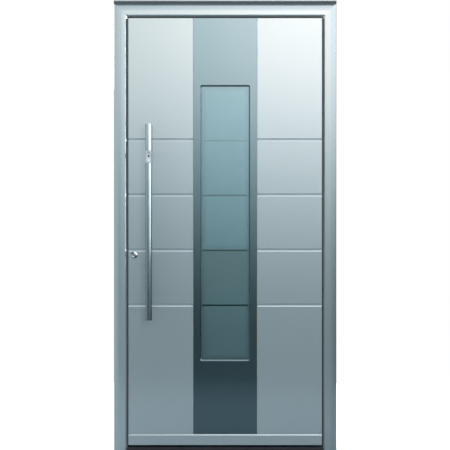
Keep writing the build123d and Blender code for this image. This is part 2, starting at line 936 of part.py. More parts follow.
# Infill behind the skins: stiff edge frame, insulating core, inner skin and beads
overlay_size = (2 * leaf_x, leaf_top - leaf_bottom)
overlay_middle = (0, (leaf_top + leaf_bottom) / 2)
core_size = (overlay_size[0] - 2 * edge_frame_width, overlay_size[1] - 2 * edge_frame_width)
block_size = (2 * (block_x - infill_play), block_top - block_bottom - 2 * infill_play)
block_middle = (0, (block_top + block_bottom) / 2)
unit_hole = (unit_width + 2 * glass_play, unit_height + 2 * glass_play)
with BuildPart() as panel_edge_frame:
    add(ring(overlay_size, core_size, overlay_middle, (skin, overlay_depth)))
    add(groove_runs(leaf_x), mode=Mode.SUBTRACT)
with BuildPart() as infill_core:
    with BuildSketch(facing(overlay_depth)):
        with Locations(overlay_middle):
            Rectangle(*core_size)
    extrude(amount=overlay_depth - skin)
    with BuildSketch(facing(infill_back)):
        with Locations(block_middle):
            Rectangle(*block_size)
    extrude(amount=infill_back - overlay_depth)
    with BuildSketch(facing(infill_back)):
        with Locations((0, window_middle)):
            Rectangle(*unit_hole)
    extrude(amount=infill_back - skin, mode=Mode.SUBTRACT)
    add(groove_runs(leaf_x), mode=Mode.SUBTRACT)
    add(cylinder_hole, mode=Mode.SUBTRACT)
    add(stud_holes, mode=Mode.SUBTRACT)
inner_skin_depth = (infill_back, infill_back + inner_skin)
with BuildPart() as infill_inner_skin:
    with BuildSketch(facing(inner_skin_depth[1])):
        with Locations(block_middle):
            Rectangle(*block_size)
        with Locations((0, window_middle)):
            Rectangle(*unit_hole, mode=Mode.SUBTRACT)
    extrude(amount=inner_skin)
bead_outer = (2 * block_x, block_top - block_bottom)
bead_inner = (bead_outer[0] - 2 * bead_width, bead_outer[1] - 2 * bead_width)
with BuildPart() as bead_ring:
    add(ring(bead_outer, bead_inner, block_middle, (inner_skin_depth[1], frame_depth)))
    bead_edges = bead_ring.faces().sort_by(Axis.Y)[-1].inner_wires()[0].edges()
    chamfer(bead_edges, length=bead_width / 2)
with BuildPart() as infill_beads:
    for side in (-1, 1):
        with BuildPart(mode=Mode.PRIVATE) as upright:
            add(bead_ring.part)
            split(bisect_by=mitre(side * block_x, block_top, side, -1, mitre_play), keep=Keep.TOP)
            split(bisect_by=mitre(side * block_x, block_bottom, side, 1, mitre_play), keep=Keep.TOP)
        add(upright.part)
    for z, up in ((block_top, 1), (block_bottom, -1)):
        with BuildPart(mode=Mode.PRIVATE) as crosspiece:
            add(bead_ring.part)
            split(bisect_by=mitre(block_x, z, -1, up, mitre_play), keep=Keep.TOP)
            split(bisect_by=mitre(-block_x, z, 1, up, mitre_play), keep=Keep.TOP)
        add(crosspiece.part)

# Glazing unit with its gasket and the frame that holds it from the room side
window_size = (window_width, window_height)
window_centre = (0, window_middle)
unit_size = (unit_width, unit_height)


def pane(front):
    with BuildPart() as sheet:
        with BuildSketch(facing(front + pane_thickness)):
            with Locations(window_centre):
                Rectangle(*unit_size)
        extrude(amount=pane_thickness)
    return sheet.part


pane_step = pane_thickness + pane_space
glass_outer = pane(unit_front)
with BuildPart() as glass_inner_panes:
    add(pane(unit_front + pane_step))
    add(pane(unit_front + 2 * pane_step))
spacer_hole = (unit_width - 2 * spacer_width, unit_height - 2 * spacer_width)
with BuildPart() as glass_spacers:
    for front in (unit_front + pane_thickness, unit_front + pane_thickness + pane_step):
        add(ring(unit_size, spacer_hole, window_centre, (front, front + pane_space)))
window_gasket = ring(unit_size, window_size, window_centre, (reveal_back, unit_front), window_corner)
# The reveal lines the opening, with a bevelled lip in the strip's cut-out
with BuildPart() as window_reveal:
    add(ring(unit_size, window_size, window_centre, (skin + reveal_play, reveal_back), window_corner))
    with BuildSketch(facing(skin + reveal_play)):
        with Locations(window_centre):
            RectangleRounded(*reveal_size, window_corner + reveal_wall)
            RectangleRounded(*window_size, window_corner, mode=Mode.SUBTRACT)
    extrude(amount=skin + reveal_play)
    street_face = window_reveal.faces().filter_by(Axis.Y).sort_by(Axis.Y)[0]
    chamfer(street_face.inner_wires()[0].edges(), length=reveal_bevel)
flange_size = (unit_hole[0] + 2 * window_flange, unit_hole[1] + 2 * window_flange)
flange_back = inner_skin_depth[1] + window_flange_bed + window_flange_thickness
with BuildPart() as window_inner_frame:
    with BuildSketch(facing(flange_back)):
        with Locations(window_centre):
            RectangleRounded(*flange_size, window_corner)
    extrude(amount=window_flange_thickness)
    with BuildSketch(facing(inner_skin_depth[1] + window_flange_bed)):
        with Locations(window_centre):
            Rectangle(*unit_size)
    extrude(amount=inner_skin_depth[1] + window_flange_bed - unit_back)
    with BuildSketch(facing(flange_back)):
        with Locations(window_centre):
            RectangleRounded(*window_size, window_corner)
    extrude(amount=flange_back - unit_back, mode=Mode.SUBTRACT)

# Seal under the leaf, over the threshold
with BuildPart() as bottom_seal:
    with BuildSketch(Plane.YZ.offset(-body_x)):
        with Locations((street_y + bottom_seal_depth, body_bottom)):
            Rectangle(
                2 * bottom_seal_thickness,
                2,
                align=(Align.CENTER, Align.MAX),
            )
            for shift in (-1, 1):
                with Locations((shift * bottom_seal_thickness * 0.6, 0)):
                    Rectangle(
                        bottom_seal_thickness / 3,
                        body_bottom_gap - bottom_seal_float,
                        align=(Align.CENTER, Align.MAX),
                    )
    extrude(amount=2 * body_x)

# Hinges: the leaf's wing carries the outer knuckles and the frame's wing the middle one
knuckle = (hinge_length - 2 * hinge_knuckle_gap) / 3
knuckle_step = knuckle + hinge_knuckle_gap
hinge_y = street_y + hinge_depth
plate_y = street_y + frame_depth


def hinge_wing(z_middle, side, knuckles):
    """A flat wing, its tangential web and its knuckles, each bored for the pin."""
    plate_x = hinge_x + side * (hinge_barrel_radius - 2.5)
    with BuildPart() as wing:
        with BuildSketch(Plane.XY.offset(z_middle - hinge_length / 2)):
            with Locations((plate_x + side * hinge_plate_width / 2, plate_y + hinge_plate / 2)):
                Rectangle(hinge_plate_width, hinge_plate)
        extrude(amount=hinge_length)
        wing_edges = wing.edges().filter_by(Axis.Y)
        far_edges = wing_edges.sort_by(Axis.X)[-2:] if side > 0 else wing_edges.sort_by(Axis.X)[:2]
        fillet(far_edges, radius=6)
        for step in knuckles:
            with BuildSketch(Plane.XY.offset(z_middle + step * knuckle_step - knuckle / 2)):
                with Locations((hinge_x, hinge_y)):
                    Circle(hinge_barrel_radius)
                with BuildLine():
                    Polyline(
                        (hinge_x, hinge_y + hinge_barrel_radius),
                        (plate_x + side * 14, plate_y + hinge_plate),
                        (plate_x + side * 14, plate_y),
                        (plate_x, plate_y),
                        (plate_x, hinge_y - 6),
                        (hinge_x, hinge_y),
                        close=True,
                    )
                make_face()
            extrude(amount=knuckle)
        with BuildSketch(Plane.XY.offset(z_middle - hinge_length / 2 - 1)):
            with Locations((hinge_x, hinge_y)):
                Circle(hinge_pin_radius + hinge_fit)
        extrude(amount=hinge_length + 2, mode=Mode.SUBTRACT)
    return wing.part


with BuildPart() as hinge_frame_wings:
    for z in hinge_heights:
        add(hinge_wing(z, 1, (0,)))
    add(room_screw_holes(frame_hinge_screws, wing_face), mode=Mode.SUBTRACT)
with BuildPart() as hinge_leaf_wings:
    for z in hinge_heights:
        add(hinge_wing(z, -1, (-1, 1)))
    add(room_screw_holes(leaf_hinge_screws, wing_face), mode=Mode.SUBTRACT)
with BuildPart() as hinge_pins:
    for z in hinge_heights:
        end = hinge_length / 2 + hinge_knuckle_gap
        with BuildSketch(Plane.XY.offset(z - end)):
            with Locations((hinge_x, hinge_y)):
                Circle(hinge_pin_radius)
        extrude(amount=2 * end)
        for start in (z - end - hinge_cap_height, z + end):
            with BuildSketch(Plane.XY.offset(start)):
                with Locations((hinge_x, hinge_y)):
                    Circle(hinge_barrel_radius)
            extrude(amount=hinge_cap_height)

# Keeps: a long plate for latch and dead bolt, and two short ones for the side bolts
with BuildPart() as latch_keep:
    add(slab((-rebate_x, keep_face), keep_span, keep_depth))
    add([latch_notch, dead_pocket, keep_screw_holes], mode=Mode.SUBTRACT)
with BuildPart() as side_bolt_keeps:
    for z in side_bolt_heights:
        add(slab((-rebate_x, keep_face), (z - side_keep_half, z + side_keep_half), keep_depth))
    add(side_pockets, mode=Mode.SUBTRACT)
    add(keep_screw_holes, mode=Mode.SUBTRACT)

# Electric opener: a housing in the jamb, whose jaw turns on a pin between two ears
opener_front = jaw_x - notch_play + bolt_play
opener_span = notch_height / 2 + ear_thickness
jaw_clear = jaw_depth - jaw_thickness / 2 - jaw_heel
ear_inner = jaw_height / 2 + jaw_side_play
with BuildPart() as opener_housing:
    add(
        slab(
            (notch_x - opener_depth, notch_x),
            (latch_z - opener_span, latch_z + opener_span),
            (inner_shell_start + cleat_gap, frame_depth - cleat_gap),
        )
    )
    for side in (-1, 1):
        spans = sorted((latch_z + side * ear_inner, latch_z + side * (ear_inner + ear_thickness)))
        add(slab((notch_x, jaw_x + jaw_heel + 1), spans, (jaw_clear - 4, frame_depth - bolt_play)))
    with BuildSketch(Plane.XY.offset(latch_z)):
        with Locations((jaw_x, street_y + jaw_depth)):
            Circle(jaw_pin_radius + jaw_pin_fit)
    extrude(amount=opener_span, both=True, mode=Mode.SUBTRACT)
with BuildPart() as opener_jaw_pin:
    with BuildSketch(Plane.XY.offset(latch_z - ear_inner - ear_thickness)):
        with Locations((jaw_x, street_y + jaw_depth)):
            Circle(jaw_pin_radius)
    extrude(amount=2 * (ear_inner + ear_thickness))
# The jaw stands in its released place, with its blade towards the room
with BuildPart() as opener_jaw:
    with BuildSketch(Plane.XY.offset(latch_z - jaw_height / 2)):
        with Locations((jaw_x, street_y + jaw_depth)):
            Circle(jaw_thickness / 2 + 1)
            with Locations((0, jaw_length / 2)):
                Rectangle(jaw_thickness, jaw_length)
            Circle(jaw_pin_radius + jaw_pin_fit, mode=Mode.SUBTRACT)
    extrude(amount=jaw_height)

# Lock: faceplate, cases, latch, dead bolt, side bolts and their rods
faceplate_x = (-body_x, -edge_x)
faceplate_span = (faceplate_bottom, faceplate_top)
latch_front = -body_x - latch_throw
with BuildPart() as latch_bolt:
    with BuildSketch(Plane.XY.offset(latch_z - latch_size[2] / 2)):
        with Locations((latch_front, street_y + lock_depth)):
            Rectangle(latch_size[0], latch_size[1], align=(Align.MIN, Align.CENTER))
    extrude(amount=latch_size[2])
    nose = latch_bolt.edges().filter_by(Axis.Z).group_by(Axis.X)[0].sort_by(Axis.Y)[0]
    chamfer(nose, length=latch_throw - 1.5, length2=latch_size[1] - 3)


def bolt(size, z):
    """A square-nosed bolt, drawn back flush with the faceplate."""
    return slab(
        (-body_x, -body_x + size[0]),
        (z - size[2] / 2, z + size[2] / 2),
        (lock_depth - size[1] / 2, lock_depth + size[1] / 2),
    )


def bolt_window(size, z):
    """The opening around a bolt, through the faceplate and the case's front."""
    return slab(
        (-body_x - 1, -edge_x + case_wall + 1),
        (z - size[2] / 2 - bolt_play, z + size[2] / 2 + bolt_play),
        (
            lock_depth - size[1] / 2 - bolt_play / 2,
            lock_depth + size[1] / 2 + bolt_play / 2,
        ),
    )


bolt_windows = [bolt_window(latch_size, latch_z), bolt_window(dead_bolt_size, dead_bolt_z)]
side_bolt_windows = [bolt_window(side_bolt_size, z) for z in side_bolt_heights]
dead_bolt = bolt(dead_bolt_size, dead_bolt_z)
with BuildPart() as side_bolts:
    for z in side_bolt_heights:
        add(bolt(side_bolt_size, z))
with BuildPart() as lock_faceplate:
    with BuildSketch(Plane.YZ.offset(faceplate_x[0])):
        with Locations((street_y + lock_depth, (faceplate_bottom + faceplate_top) / 2)):
            SlotOverall(faceplate_top - faceplate_bottom, faceplate_width, rotation=90)
    extrude(amount=faceplate_thickness)
    add(bolt_windows + side_bolt_windows, mode=Mode.SUBTRACT)
    add(edge_screws(face_screw_heights, -body_x, 1, screw_play), mode=Mode.SUBTRACT)


def lock_box(x, z):
    """A pressed case, hollow inside, open where its bolts pass."""
    outside = (lock_depth - case_half, lock_depth + case_half)
    inside = (outside[0] + case_wall, outside[1] - case_wall)
    with BuildPart() as box:
        add(slab(x, z, outside))
        add(
            slab(
                (x[0] + case_wall, x[1] - case_wall),
                (z[0] + case_wall, z[1] - case_wall),
                inside,
            ),
            mode=Mode.SUBTRACT,
        )
        add(bolt_windows + side_bolt_windows, mode=Mode.SUBTRACT)
    return box.part


with BuildPart() as lock_case:
    add(lock_box(case_x, (case_bottom, case_top)))
    add([cylinder_hole, round_bore(lock_x, spindle_z, follower_radius - 2, 0, frame_depth)], mode=Mode.SUBTRACT)
with BuildPart() as side_bolt_cases:
    for span in side_case_spans:
        add(lock_box(side_case_x, span))
rod_x = (-edge_x + leaf_wall, -edge_x + leaf_wall + rod_thickness)
rod_depth = (lock_depth - latch_size[1] / 2, lock_depth + latch_size[1] / 2)
rod_spans = [
    (side_case_spans[0][1] + rod_end_gap, case_bottom - rod_travel - rod_end_gap),
    (case_top + rod_end_gap, side_case_spans[1][0] - rod_travel - rod_end_gap),
]
with BuildPart() as drive_rods:
    for span in rod_spans:
        add(slab(rod_x, span, rod_depth))
    add(
        edge_screws(face_screw_heights, -body_x, 1, 1.5),
        mode=Mode.SUBTRACT,
    )
    with BuildSketch(Plane.YZ.offset(rod_x[0])):
        with Locations(*[(street_y + lock_depth, z - rod_travel / 2) for z in face_screw_heights[1:5]]):
            SlotOverall(rod_travel + 4 * screw_radius, 2 * screw_radius + 3, rotation=90)
    extrude(amount=rod_thickness, mode=Mode.SUBTRACT)

# Profile cylinder, its turning plugs with the cam, and the rosette on the street face
cam_depth = (lock_depth - cam_width / 2, lock_depth + cam_width / 2)
with BuildPart() as cylinder_body:
    add(cylinder_profile(skin + bolt_play, cylinder_inner_end))
    add(round_bore(lock_x, cylinder_height, barrel_radius, -cylinder_nose, skin + bolt_play))
    add(
        slab(
            (lock_x - 2 * barrel_radius, lock_x + 2 * barrel_radius),
            (cylinder_height - cam_reach - 1.5, cylinder_height + 2 * barrel_radius),
            (cam_depth[0] - cam_play, cam_depth[1] + cam_play),
        ),
        mode=Mode.SUBTRACT,
    )
    add(
        round_bore(lock_x, cylinder_height, plug_radius + plug_fit, -cylinder_nose - 1, cylinder_inner_end + 1),
        mode=Mode.SUBTRACT,
    )
with BuildPart() as cylinder_plugs:
    add(round_bore(lock_x, cylinder_height, plug_radius, -cylinder_nose, cam_depth[0]))
    add(round_bore(lock_x, cylinder_height, plug_radius, cam_depth[1], cylinder_inner_end))
    add(round_bore(lock_x, cylinder_height, barrel_radius - plug_fit, *cam_depth))
    with BuildSketch(facing(cam_depth[1])):
        with Locations((lock_x, cylinder_height)):
            Rectangle(cam_lobe, cam_reach, align=(Align.CENTER, Align.MAX))
    extrude(amount=cam_width)
    for face_depth, way in ((-cylinder_nose, 1), (cylinder_inner_end, -1)):
        span = sorted((face_depth - way, face_depth + way * keyway_depth))
        add(
            slab(
                (lock_x - keyway_width / 2, lock_x + keyway_width / 2),
                (cylinder_height - plug_radius - 0.1, cylinder_height - plug_radius + keyway_height),
                span,
            ),
            mode=Mode.SUBTRACT,
        )
with BuildPart() as cylinder_rosette:
    with BuildSketch(facing(0)):
        with Locations((lock_x, cylinder_height)):
            Circle(rosette_radius)
    extrude(amount=rosette_depth)
    rim = cylinder_rosette.faces().sort_by(Axis.Y)[0].edges()
    chamfer(rim, length=rosette_depth - 2, length2=rosette_bevel)
    add(
        round_bore(lock_x, cylinder_height, barrel_radius + bolt_play, -rosette_depth - 1, 1),
        mode=Mode.SUBTRACT,
    )

# Lever, spindle with the follower, and the plate that both pass
with BuildPart() as handle_plate:
    with BuildSketch(facing(plate_back)):
        with Locations((lock_x, handle_plate_middle)):
            RectangleRounded(handle_plate_width, handle_plate_height, handle_plate_width / 2 - 1)
    extrude(amount=handle_plate_thickness)
    chamfer(handle_plate.faces().sort_by(Axis.Y)[-1].edges(), length=2)
    add(cylinder_profile(frame_depth - 1, plate_back + 1, bolt_play), mode=Mode.SUBTRACT)
    add(
        round_bore(lock_x, spindle_z, lever_neck_radius + bolt_play, frame_depth - 1, plate_back + 1),
        mode=Mode.SUBTRACT,
    )
    add(room_screw_holes(plate_screw_places, plate_back), mode=Mode.SUBTRACT)
lever_grip = frame_depth + lever_reach
with BuildPart() as lever_handle:
    with BuildLine(mode=Mode.PRIVATE) as lever_path:
        FilletPolyline(
            (lock_x, street_y + frame_depth + 1, spindle_z),
            (lock_x, street_y + lever_grip, spindle_z),
            (lock_x + lever_length, street_y + lever_grip, spindle_z),
            radius=lever_neck_radius * 1.8,
        )
    with BuildSketch(Plane(origin=lever_path.line @ 0, z_dir=lever_path.line % 0)):
        Circle(lever_neck_radius)
    sweep(path=lever_path.line)
    fillet(lever_handle.faces().sort_by(Axis.X)[-1].edges(), radius=2)
    with BuildSketch(facing(plate_back + 14)):
        with Locations((lock_x, spindle_z)):
            Rectangle(spindle_size + 0.2, spindle_size + 0.2)
    extrude(amount=plate_back + 14 - frame_depth, mode=Mode.SUBTRACT)
with BuildPart() as lever_spindle:
    with BuildSketch(facing(plate_back + 13)):
        with Locations((lock_x, spindle_z)):
            Rectangle(spindle_size, spindle_size)
    extrude(amount=plate_back + 13 - lock_depth)
    with BuildSketch(facing(lock_depth + 5)):
        with Locations((lock_x, spindle_z)):
            Circle(follower_radius)
            with Locations(Location((0, 0), 45)):
                Rectangle(follower_arm, 7, align=(Align.MIN, Align.CENTER))
    extrude(amount=10)

# Screws of the frame and of the leaf
with BuildPart() as frame_screws:
    add(room_screws(frame_hinge_screws, wing_face))
    add(edge_screws(keep_screw_heights, keep_face, -1))
with BuildPart() as leaf_screws:
    add(room_screws(leaf_hinge_screws, wing_face))
    add(room_screws(plate_screw_places, plate_back))
    add(edge_screws(face_screw_heights, -body_x, 1))

# Pull bar: a tube with caps, two stand-offs with studs, and the reader in its front
bar_y = street_y - bar_standoff
reader_span = (reader_bottom, reader_bottom + reader_height)
with BuildPart() as pull_bar:
    with BuildSketch(Plane.XY.offset(bar_bottom + bar_cap)):
        with Locations((bar_x, bar_y)):
            Circle(bar_radius)
            Circle(bar_radius - bar_wall, mode=Mode.SUBTRACT)
    extrude(amount=bar_top - bar_bottom - 2 * bar_cap)
    add(
        slab((bar_x - 2 * bar_radius, bar_x + 2 * bar_radius), reader_span, (-bar_standoff - 2 * bar_radius, -bar_standoff)),
        mode=Mode.SUBTRACT,
    )
with BuildPart() as pull_bar_caps:
    for face, start, spigot in (
        (bar_bottom, bar_bottom, bar_bottom + bar_cap),
        (bar_top, bar_top - bar_cap, bar_top - bar_cap - bar_cap_spigot),
    ):
        with BuildSketch(Plane.XY.offset(start)):
            with Locations((bar_x, bar_y)):
                Circle(bar_radius)
        extrude(amount=bar_cap)
        with BuildSketch(Plane.XY.offset(spigot)):
            with Locations((bar_x, bar_y)):
                Circle(bar_radius - bar_wall - reader_play)
        extrude(amount=bar_cap_spigot)
    rims = pull_bar_caps.edges().filter_by(GeomType.CIRCLE).group_by(Axis.Z)
    chamfer(rims[0] + rims[-1], length=0.8)
with BuildPart() as pull_bar_standoffs:
    for z in stud_heights:
        add(round_bore(bar_x, z, standoff_foot_radius, -standoff_foot, 0))
        add(round_bore(bar_x, z, standoff_radius, -bar_standoff + bar_radius / 2, -standoff_foot))
        add(round_bore(bar_x, z, standoff_stud_radius, 0, standoff_stud))
    with BuildSketch(Plane.XY.offset(bar_bottom)):
        with Locations((bar_x, bar_y)):
            Circle(bar_radius)
    extrude(amount=bar_top - bar_bottom, mode=Mode.SUBTRACT)
sensor_z = reader_bottom + sensor_rise
reader_front = -bar_standoff - reader_radius
scoop_y = street_y + reader_front
scoop_ends = (reader_bottom + reader_band, reader_bottom + reader_height - reader_band)
with BuildPart() as reader_housing:
    with BuildSketch(Plane.XY.offset(reader_bottom + reader_play)):
        with Locations((bar_x, bar_y)):
            Circle(reader_radius)
            with Locations((0, -reader_play)):
                Rectangle(
                    4 * bar_radius,
                    4 * bar_radius,
                    align=(Align.CENTER, Align.MIN),
                    mode=Mode.SUBTRACT,
                )
    extrude(amount=reader_height - 2 * reader_play)
    chamfer(reader_housing.edges().filter_by(GeomType.CIRCLE), length=0.8)
    # A shallow saddle for the fingertip, with a ring round the sensor in it
    with BuildSketch(Plane.YZ.offset(bar_x)):
        with BuildLine():
            ThreePointArc(
                (scoop_y, scoop_ends[0]),
                (scoop_y + scoop_depth, (scoop_ends[0] + scoop_ends[1]) / 2),
                (scoop_y, scoop_ends[1]),
            )
            Polyline(
                (scoop_y, scoop_ends[1]),
                (scoop_y - scoop_depth, scoop_ends[1]),
                (scoop_y - scoop_depth, scoop_ends[0]),
                (scoop_y, scoop_ends[0]),
            )
        make_face()
    extrude(amount=2 * bar_radius, both=True, mode=Mode.SUBTRACT)
    with BuildSketch(facing(-bar_standoff - standoff_foot)):
        with Locations((bar_x, sensor_z)):
            Circle(sensor_ring_radius)
    extrude(amount=reader_radius - standoff_foot)
    ring_rim = reader_housing.edges().filter_by(GeomType.CIRCLE).filter_by(
        lambda edge: abs(edge.radius - sensor_ring_radius) < 0.01
    )
    chamfer(ring_rim.sort_by(Axis.Y)[0], length=sensor_ring_bevel)
    sensor_back = reader_front + sensor_sink + sensor_thickness
    add(
        round_bore(bar_x, sensor_z, sensor_radius + 0.1, reader_front - 1, sensor_back),
        mode=Mode.SUBTRACT,
    )
reader_sensor = round_bore(bar_x, sensor_z, sensor_radius, reader_front + sensor_sink, sensor_back)

pieces = {
    "frame_lock_jamb": frame_lock_jamb.part,
    "frame_hinge_jamb": frame_hinge_jamb.part,
    "frame_head": frame_head.part,
    "frame_insulating_bars": frame_insulating_bars.part,
    "frame_corner_cleats": frame_corner_cleats.part,
    "frame_stop_gasket": frame_stop_gasket.part,
    "head_joint_strip": head_joint_strip.part,
    "head_cap": head_cap.part,
    "threshold_core": threshold_core.part,
    "threshold_rail": threshold_rail.part,
    "threshold_end_blocks": threshold_end_blocks.part,
    "latch_keep": latch_keep.part,
    "side_bolt_keeps": side_bolt_keeps.part,
    "opener_housing": opener_housing.part,
    "opener_jaw_pin": opener_jaw_pin.part,
    "opener_jaw": opener_jaw.part,
    "frame_screws": frame_screws.part,
    "hinge_frame_wings": hinge_frame_wings.part,
    "hinge_pins": hinge_pins.part,
    "hinge_leaf_wings": hinge_leaf_wings.part,
    "leaf_lock_stile": leaf_lock_stile.part,
    "leaf_hinge_stile": leaf_hinge_stile.part,
    "leaf_top_rail": leaf_top_rail.part,
    "leaf_bottom_rail": leaf_bottom_rail.part,
    "leaf_insulating_bars": leaf_insulating_bars.part,
    "leaf_corner_cleats": leaf_corner_cleats.part,
    "panel_lock_side": panel_lock_side.part,
    "panel_hinge_side": panel_hinge_side.part,
    "centre_strip": centre_strip.part,
    "bottom_cover": bottom_cover.part,
    "panel_edge_frame": panel_edge_frame.part,
    "infill_core": infill_core.part,
    "infill_inner_skin": infill_inner_skin.part,
    "infill_beads": infill_beads.part,
    "glass_outer": glass_outer,
    "glass_inner_panes": glass_inner_panes.part,
    "glass_spacers": glass_spacers.part,
    "window_gasket": window_gasket,
    "window_reveal": window_reveal.part,
    "window_inner_frame": window_inner_frame.part,
    "bottom_seal": bottom_seal.part,
    "leaf_screws": leaf_screws.part,
    "lock_faceplate": lock_faceplate.part,
    "lock_case": lock_case.part,
    "side_bolt_cases": side_bolt_cases.part,
    "latch_bolt": latch_bolt.part,
    "dead_bolt": dead_bolt,
    "side_bolts": side_bolts.part,
    "drive_rods": drive_rods.part,
    "cylinder_body": cylinder_body.part,
    "cylinder_plugs": cylinder_plugs.part,
    "cylinder_rosette": cylinder_rosette.part,
    "handle_plate": handle_plate.part,
    "lever_handle": lever_handle.part,
    "lever_spindle": lever_spindle.part,
    "pull_bar": pull_bar.part,
    "pull_bar_caps": pull_bar_caps.part,
    "pull_bar_standoffs": pull_bar_standoffs.part,
    "reader_housing": reader_housing.part,
    "reader_sensor": reader_sensor,
}
for name, piece in pieces.items():
    save(piece, name)
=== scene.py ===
import math

import bmesh
import bpy
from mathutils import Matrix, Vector


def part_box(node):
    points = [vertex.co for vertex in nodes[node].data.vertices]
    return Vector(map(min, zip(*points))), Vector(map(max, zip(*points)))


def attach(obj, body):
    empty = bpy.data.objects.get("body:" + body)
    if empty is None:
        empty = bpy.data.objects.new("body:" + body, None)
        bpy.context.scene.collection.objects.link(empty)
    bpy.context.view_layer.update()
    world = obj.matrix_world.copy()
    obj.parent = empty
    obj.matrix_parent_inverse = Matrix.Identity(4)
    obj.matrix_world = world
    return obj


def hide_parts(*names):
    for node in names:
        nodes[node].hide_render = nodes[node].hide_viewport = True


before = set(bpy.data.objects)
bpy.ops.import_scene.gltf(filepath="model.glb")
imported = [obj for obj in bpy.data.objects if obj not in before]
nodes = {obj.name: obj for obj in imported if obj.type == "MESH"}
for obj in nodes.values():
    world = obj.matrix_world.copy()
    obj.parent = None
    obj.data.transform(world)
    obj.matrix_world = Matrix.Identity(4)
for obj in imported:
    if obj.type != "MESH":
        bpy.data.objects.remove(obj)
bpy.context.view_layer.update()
print("frame loaded:", len(nodes), "nodes")

# Places taken from the solids
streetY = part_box("frame_head")[0][1]
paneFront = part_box("glass_outer")[0][1]
rosetteLow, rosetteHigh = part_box("cylinder_rosette")
rosetteMiddle = (rosetteLow + rosetteHigh) / 2


# Shader helpers: a value is either a number or another node's socket
def feed(tree, socket, value):
    if isinstance(value, bpy.types.NodeSocket):
        tree.links.new(value, socket)
    else:
        socket.default_value = value


def calc(tree, operation, *values):
    node = tree.nodes.new("ShaderNodeMath")
    node.operation = operation
    for socket, value in zip(node.inputs, values):
        feed(tree, socket, value)
    return node.outputs[0]


def vecCalc(tree, operation, *values, scale=None, out=0):
    node = tree.nodes.new("ShaderNodeVectorMath")
    node.operation = operation
    for socket, value in zip(node.inputs, values):
        feed(tree, socket, value)
    if scale is not None:
        feed(tree, node.inputs["Scale"], scale)
    return node.outputs[out]


def spread(tree, value, fromMin, fromMax, toMin=0.0, toMax=1.0, smooth=False):
    node = tree.nodes.new("ShaderNodeMapRange")
    if smooth:
        node.interpolation_type = "SMOOTHSTEP"
    feed(tree, node.inputs["Value"], value)
    for name, number in zip(("From Min", "From Max", "To Min", "To Max"), (fromMin, fromMax, toMin, toMax)):
        feed(tree, node.inputs[name], number)
    return node.outputs["Result"]


def blendColors(tree, factor, first, second):
    node = tree.nodes.new("ShaderNodeMix")
    node.data_type = "RGBA"
    feed(tree, node.inputs["Factor"], factor)
    feed(tree, node.inputs[6], first)
    feed(tree, node.inputs[7], second)
    return node.outputs[2]


def ramp(tree, value, stops):
    node = tree.nodes.new("ShaderNodeValToRGB")
    marks = node.color_ramp.elements
    marks.remove(marks[1])
    marks[0].position, marks[0].color = stops[0]
    for position, color in stops[1:]:
        marks.new(position).color = color
    feed(tree, node.inputs["Fac"], value)
    return node.outputs["Color"]


def noiseOf(tree, vector, scale, detail=2.0, dimensions="3D"):
    node = tree.nodes.new("ShaderNodeTexNoise")
    node.noise_dimensions = dimensions
    feed(tree, node.inputs["W" if dimensions == "1D" else "Vector"], vector)
    feed(tree, node.inputs["Scale"], scale)
    feed(tree, node.inputs["Detail"], detail)
    return node.outputs["Fac"]


def objectPlace(tree):
    return tree.nodes.new("ShaderNodeTexCoord").outputs["Object"]


def splitPlace(tree, vector):
    node = tree.nodes.new("ShaderNodeSeparateXYZ")
    feed(tree, node.inputs[0], vector)
    return node.outputs


def bumpOf(tree, height, strength, distance):
    node = tree.nodes.new("ShaderNodeBump")
    feed(tree, node.inputs["Height"], height)
    feed(tree, node.inputs["Strength"], strength)
    feed(tree, node.inputs["Distance"], distance)
    return node.outputs["Normal"]


def newMaterial(name, **constants):
    mat = bpy.data.materials.new(name)
    mat.use_nodes = True
    shader = mat.node_tree.nodes["Principled BSDF"]
    for key, value in constants.items():
        shader.inputs[key.replace("_", " ")].default_value = value
    return mat, mat.node_tree, shader


def makeGroup(name, inputs, outputs):
    group = bpy.data.node_groups.new(name, "ShaderNodeTree")
    for label, kind, value in inputs:
        socket = group.interface.new_socket(label, in_out="INPUT", socket_type=kind)
        socket.default_value = value
    for label, kind in outputs:
        group.interface.new_socket(label, in_out="OUTPUT", socket_type=kind)
    return group, group.nodes.new("NodeGroupInput").outputs, group.nodes.new("NodeGroupOutput").inputs


def useGroup(tree, group, **values):
    node = tree.nodes.new("ShaderNodeGroup")
    node.node_tree = group
    for key, value in values.items():
        feed(tree, node.inputs[key], value)
    return node.outputs


def srgb(red, green, blue):
    def one(value):
        value = value / 255
        return value / 12.92 if value <= 0.04045 else ((value + 0.055) / 1.055) ** 2.4

    return one(red), one(green), one(blue), 1.0


# Finish group: fine grain in colour, gloss and relief, with a slow drift of tone over the surface
finishGroup, taken, given = makeGroup(
    "fineFinish",
    [
        ("Color", "NodeSocketColor", (0.5, 0.5, 0.5, 1)),
        ("Rough", "NodeSocketFloat", 0.35),
        ("Scale", "NodeSocketFloat", 900.0),
        ("Stretch", "NodeSocketVector", (1.0, 1.0, 1.0)),
        ("Tone", "NodeSocketFloat", 0.05),
        ("Drift", "NodeSocketFloat", 0.03),
        ("Gloss", "NodeSocketFloat", 0.06),
        ("Relief", "NodeSocketFloat", 0.06),
    ],
    [("Color", "NodeSocketColor"), ("Rough", "NodeSocketFloat"), ("Normal", "NodeSocketVector")],
)
place = objectPlace(finishGroup)
fine = noiseOf(finishGroup, vecCalc(finishGroup, "MULTIPLY", place, taken["Stretch"]), taken["Scale"], 3.0)
slow = noiseOf(finishGroup, place, 2.3, 2.0)
fineShift = calc(finishGroup, "SUBTRACT", fine, 0.5)
slowShift = calc(finishGroup, "SUBTRACT", slow, 0.5)
tone = calc(finishGroup, "MULTIPLY_ADD", fineShift, taken["Tone"], 1.0)
tone = calc(finishGroup, "MULTIPLY_ADD", slowShift, taken["Drift"], tone)
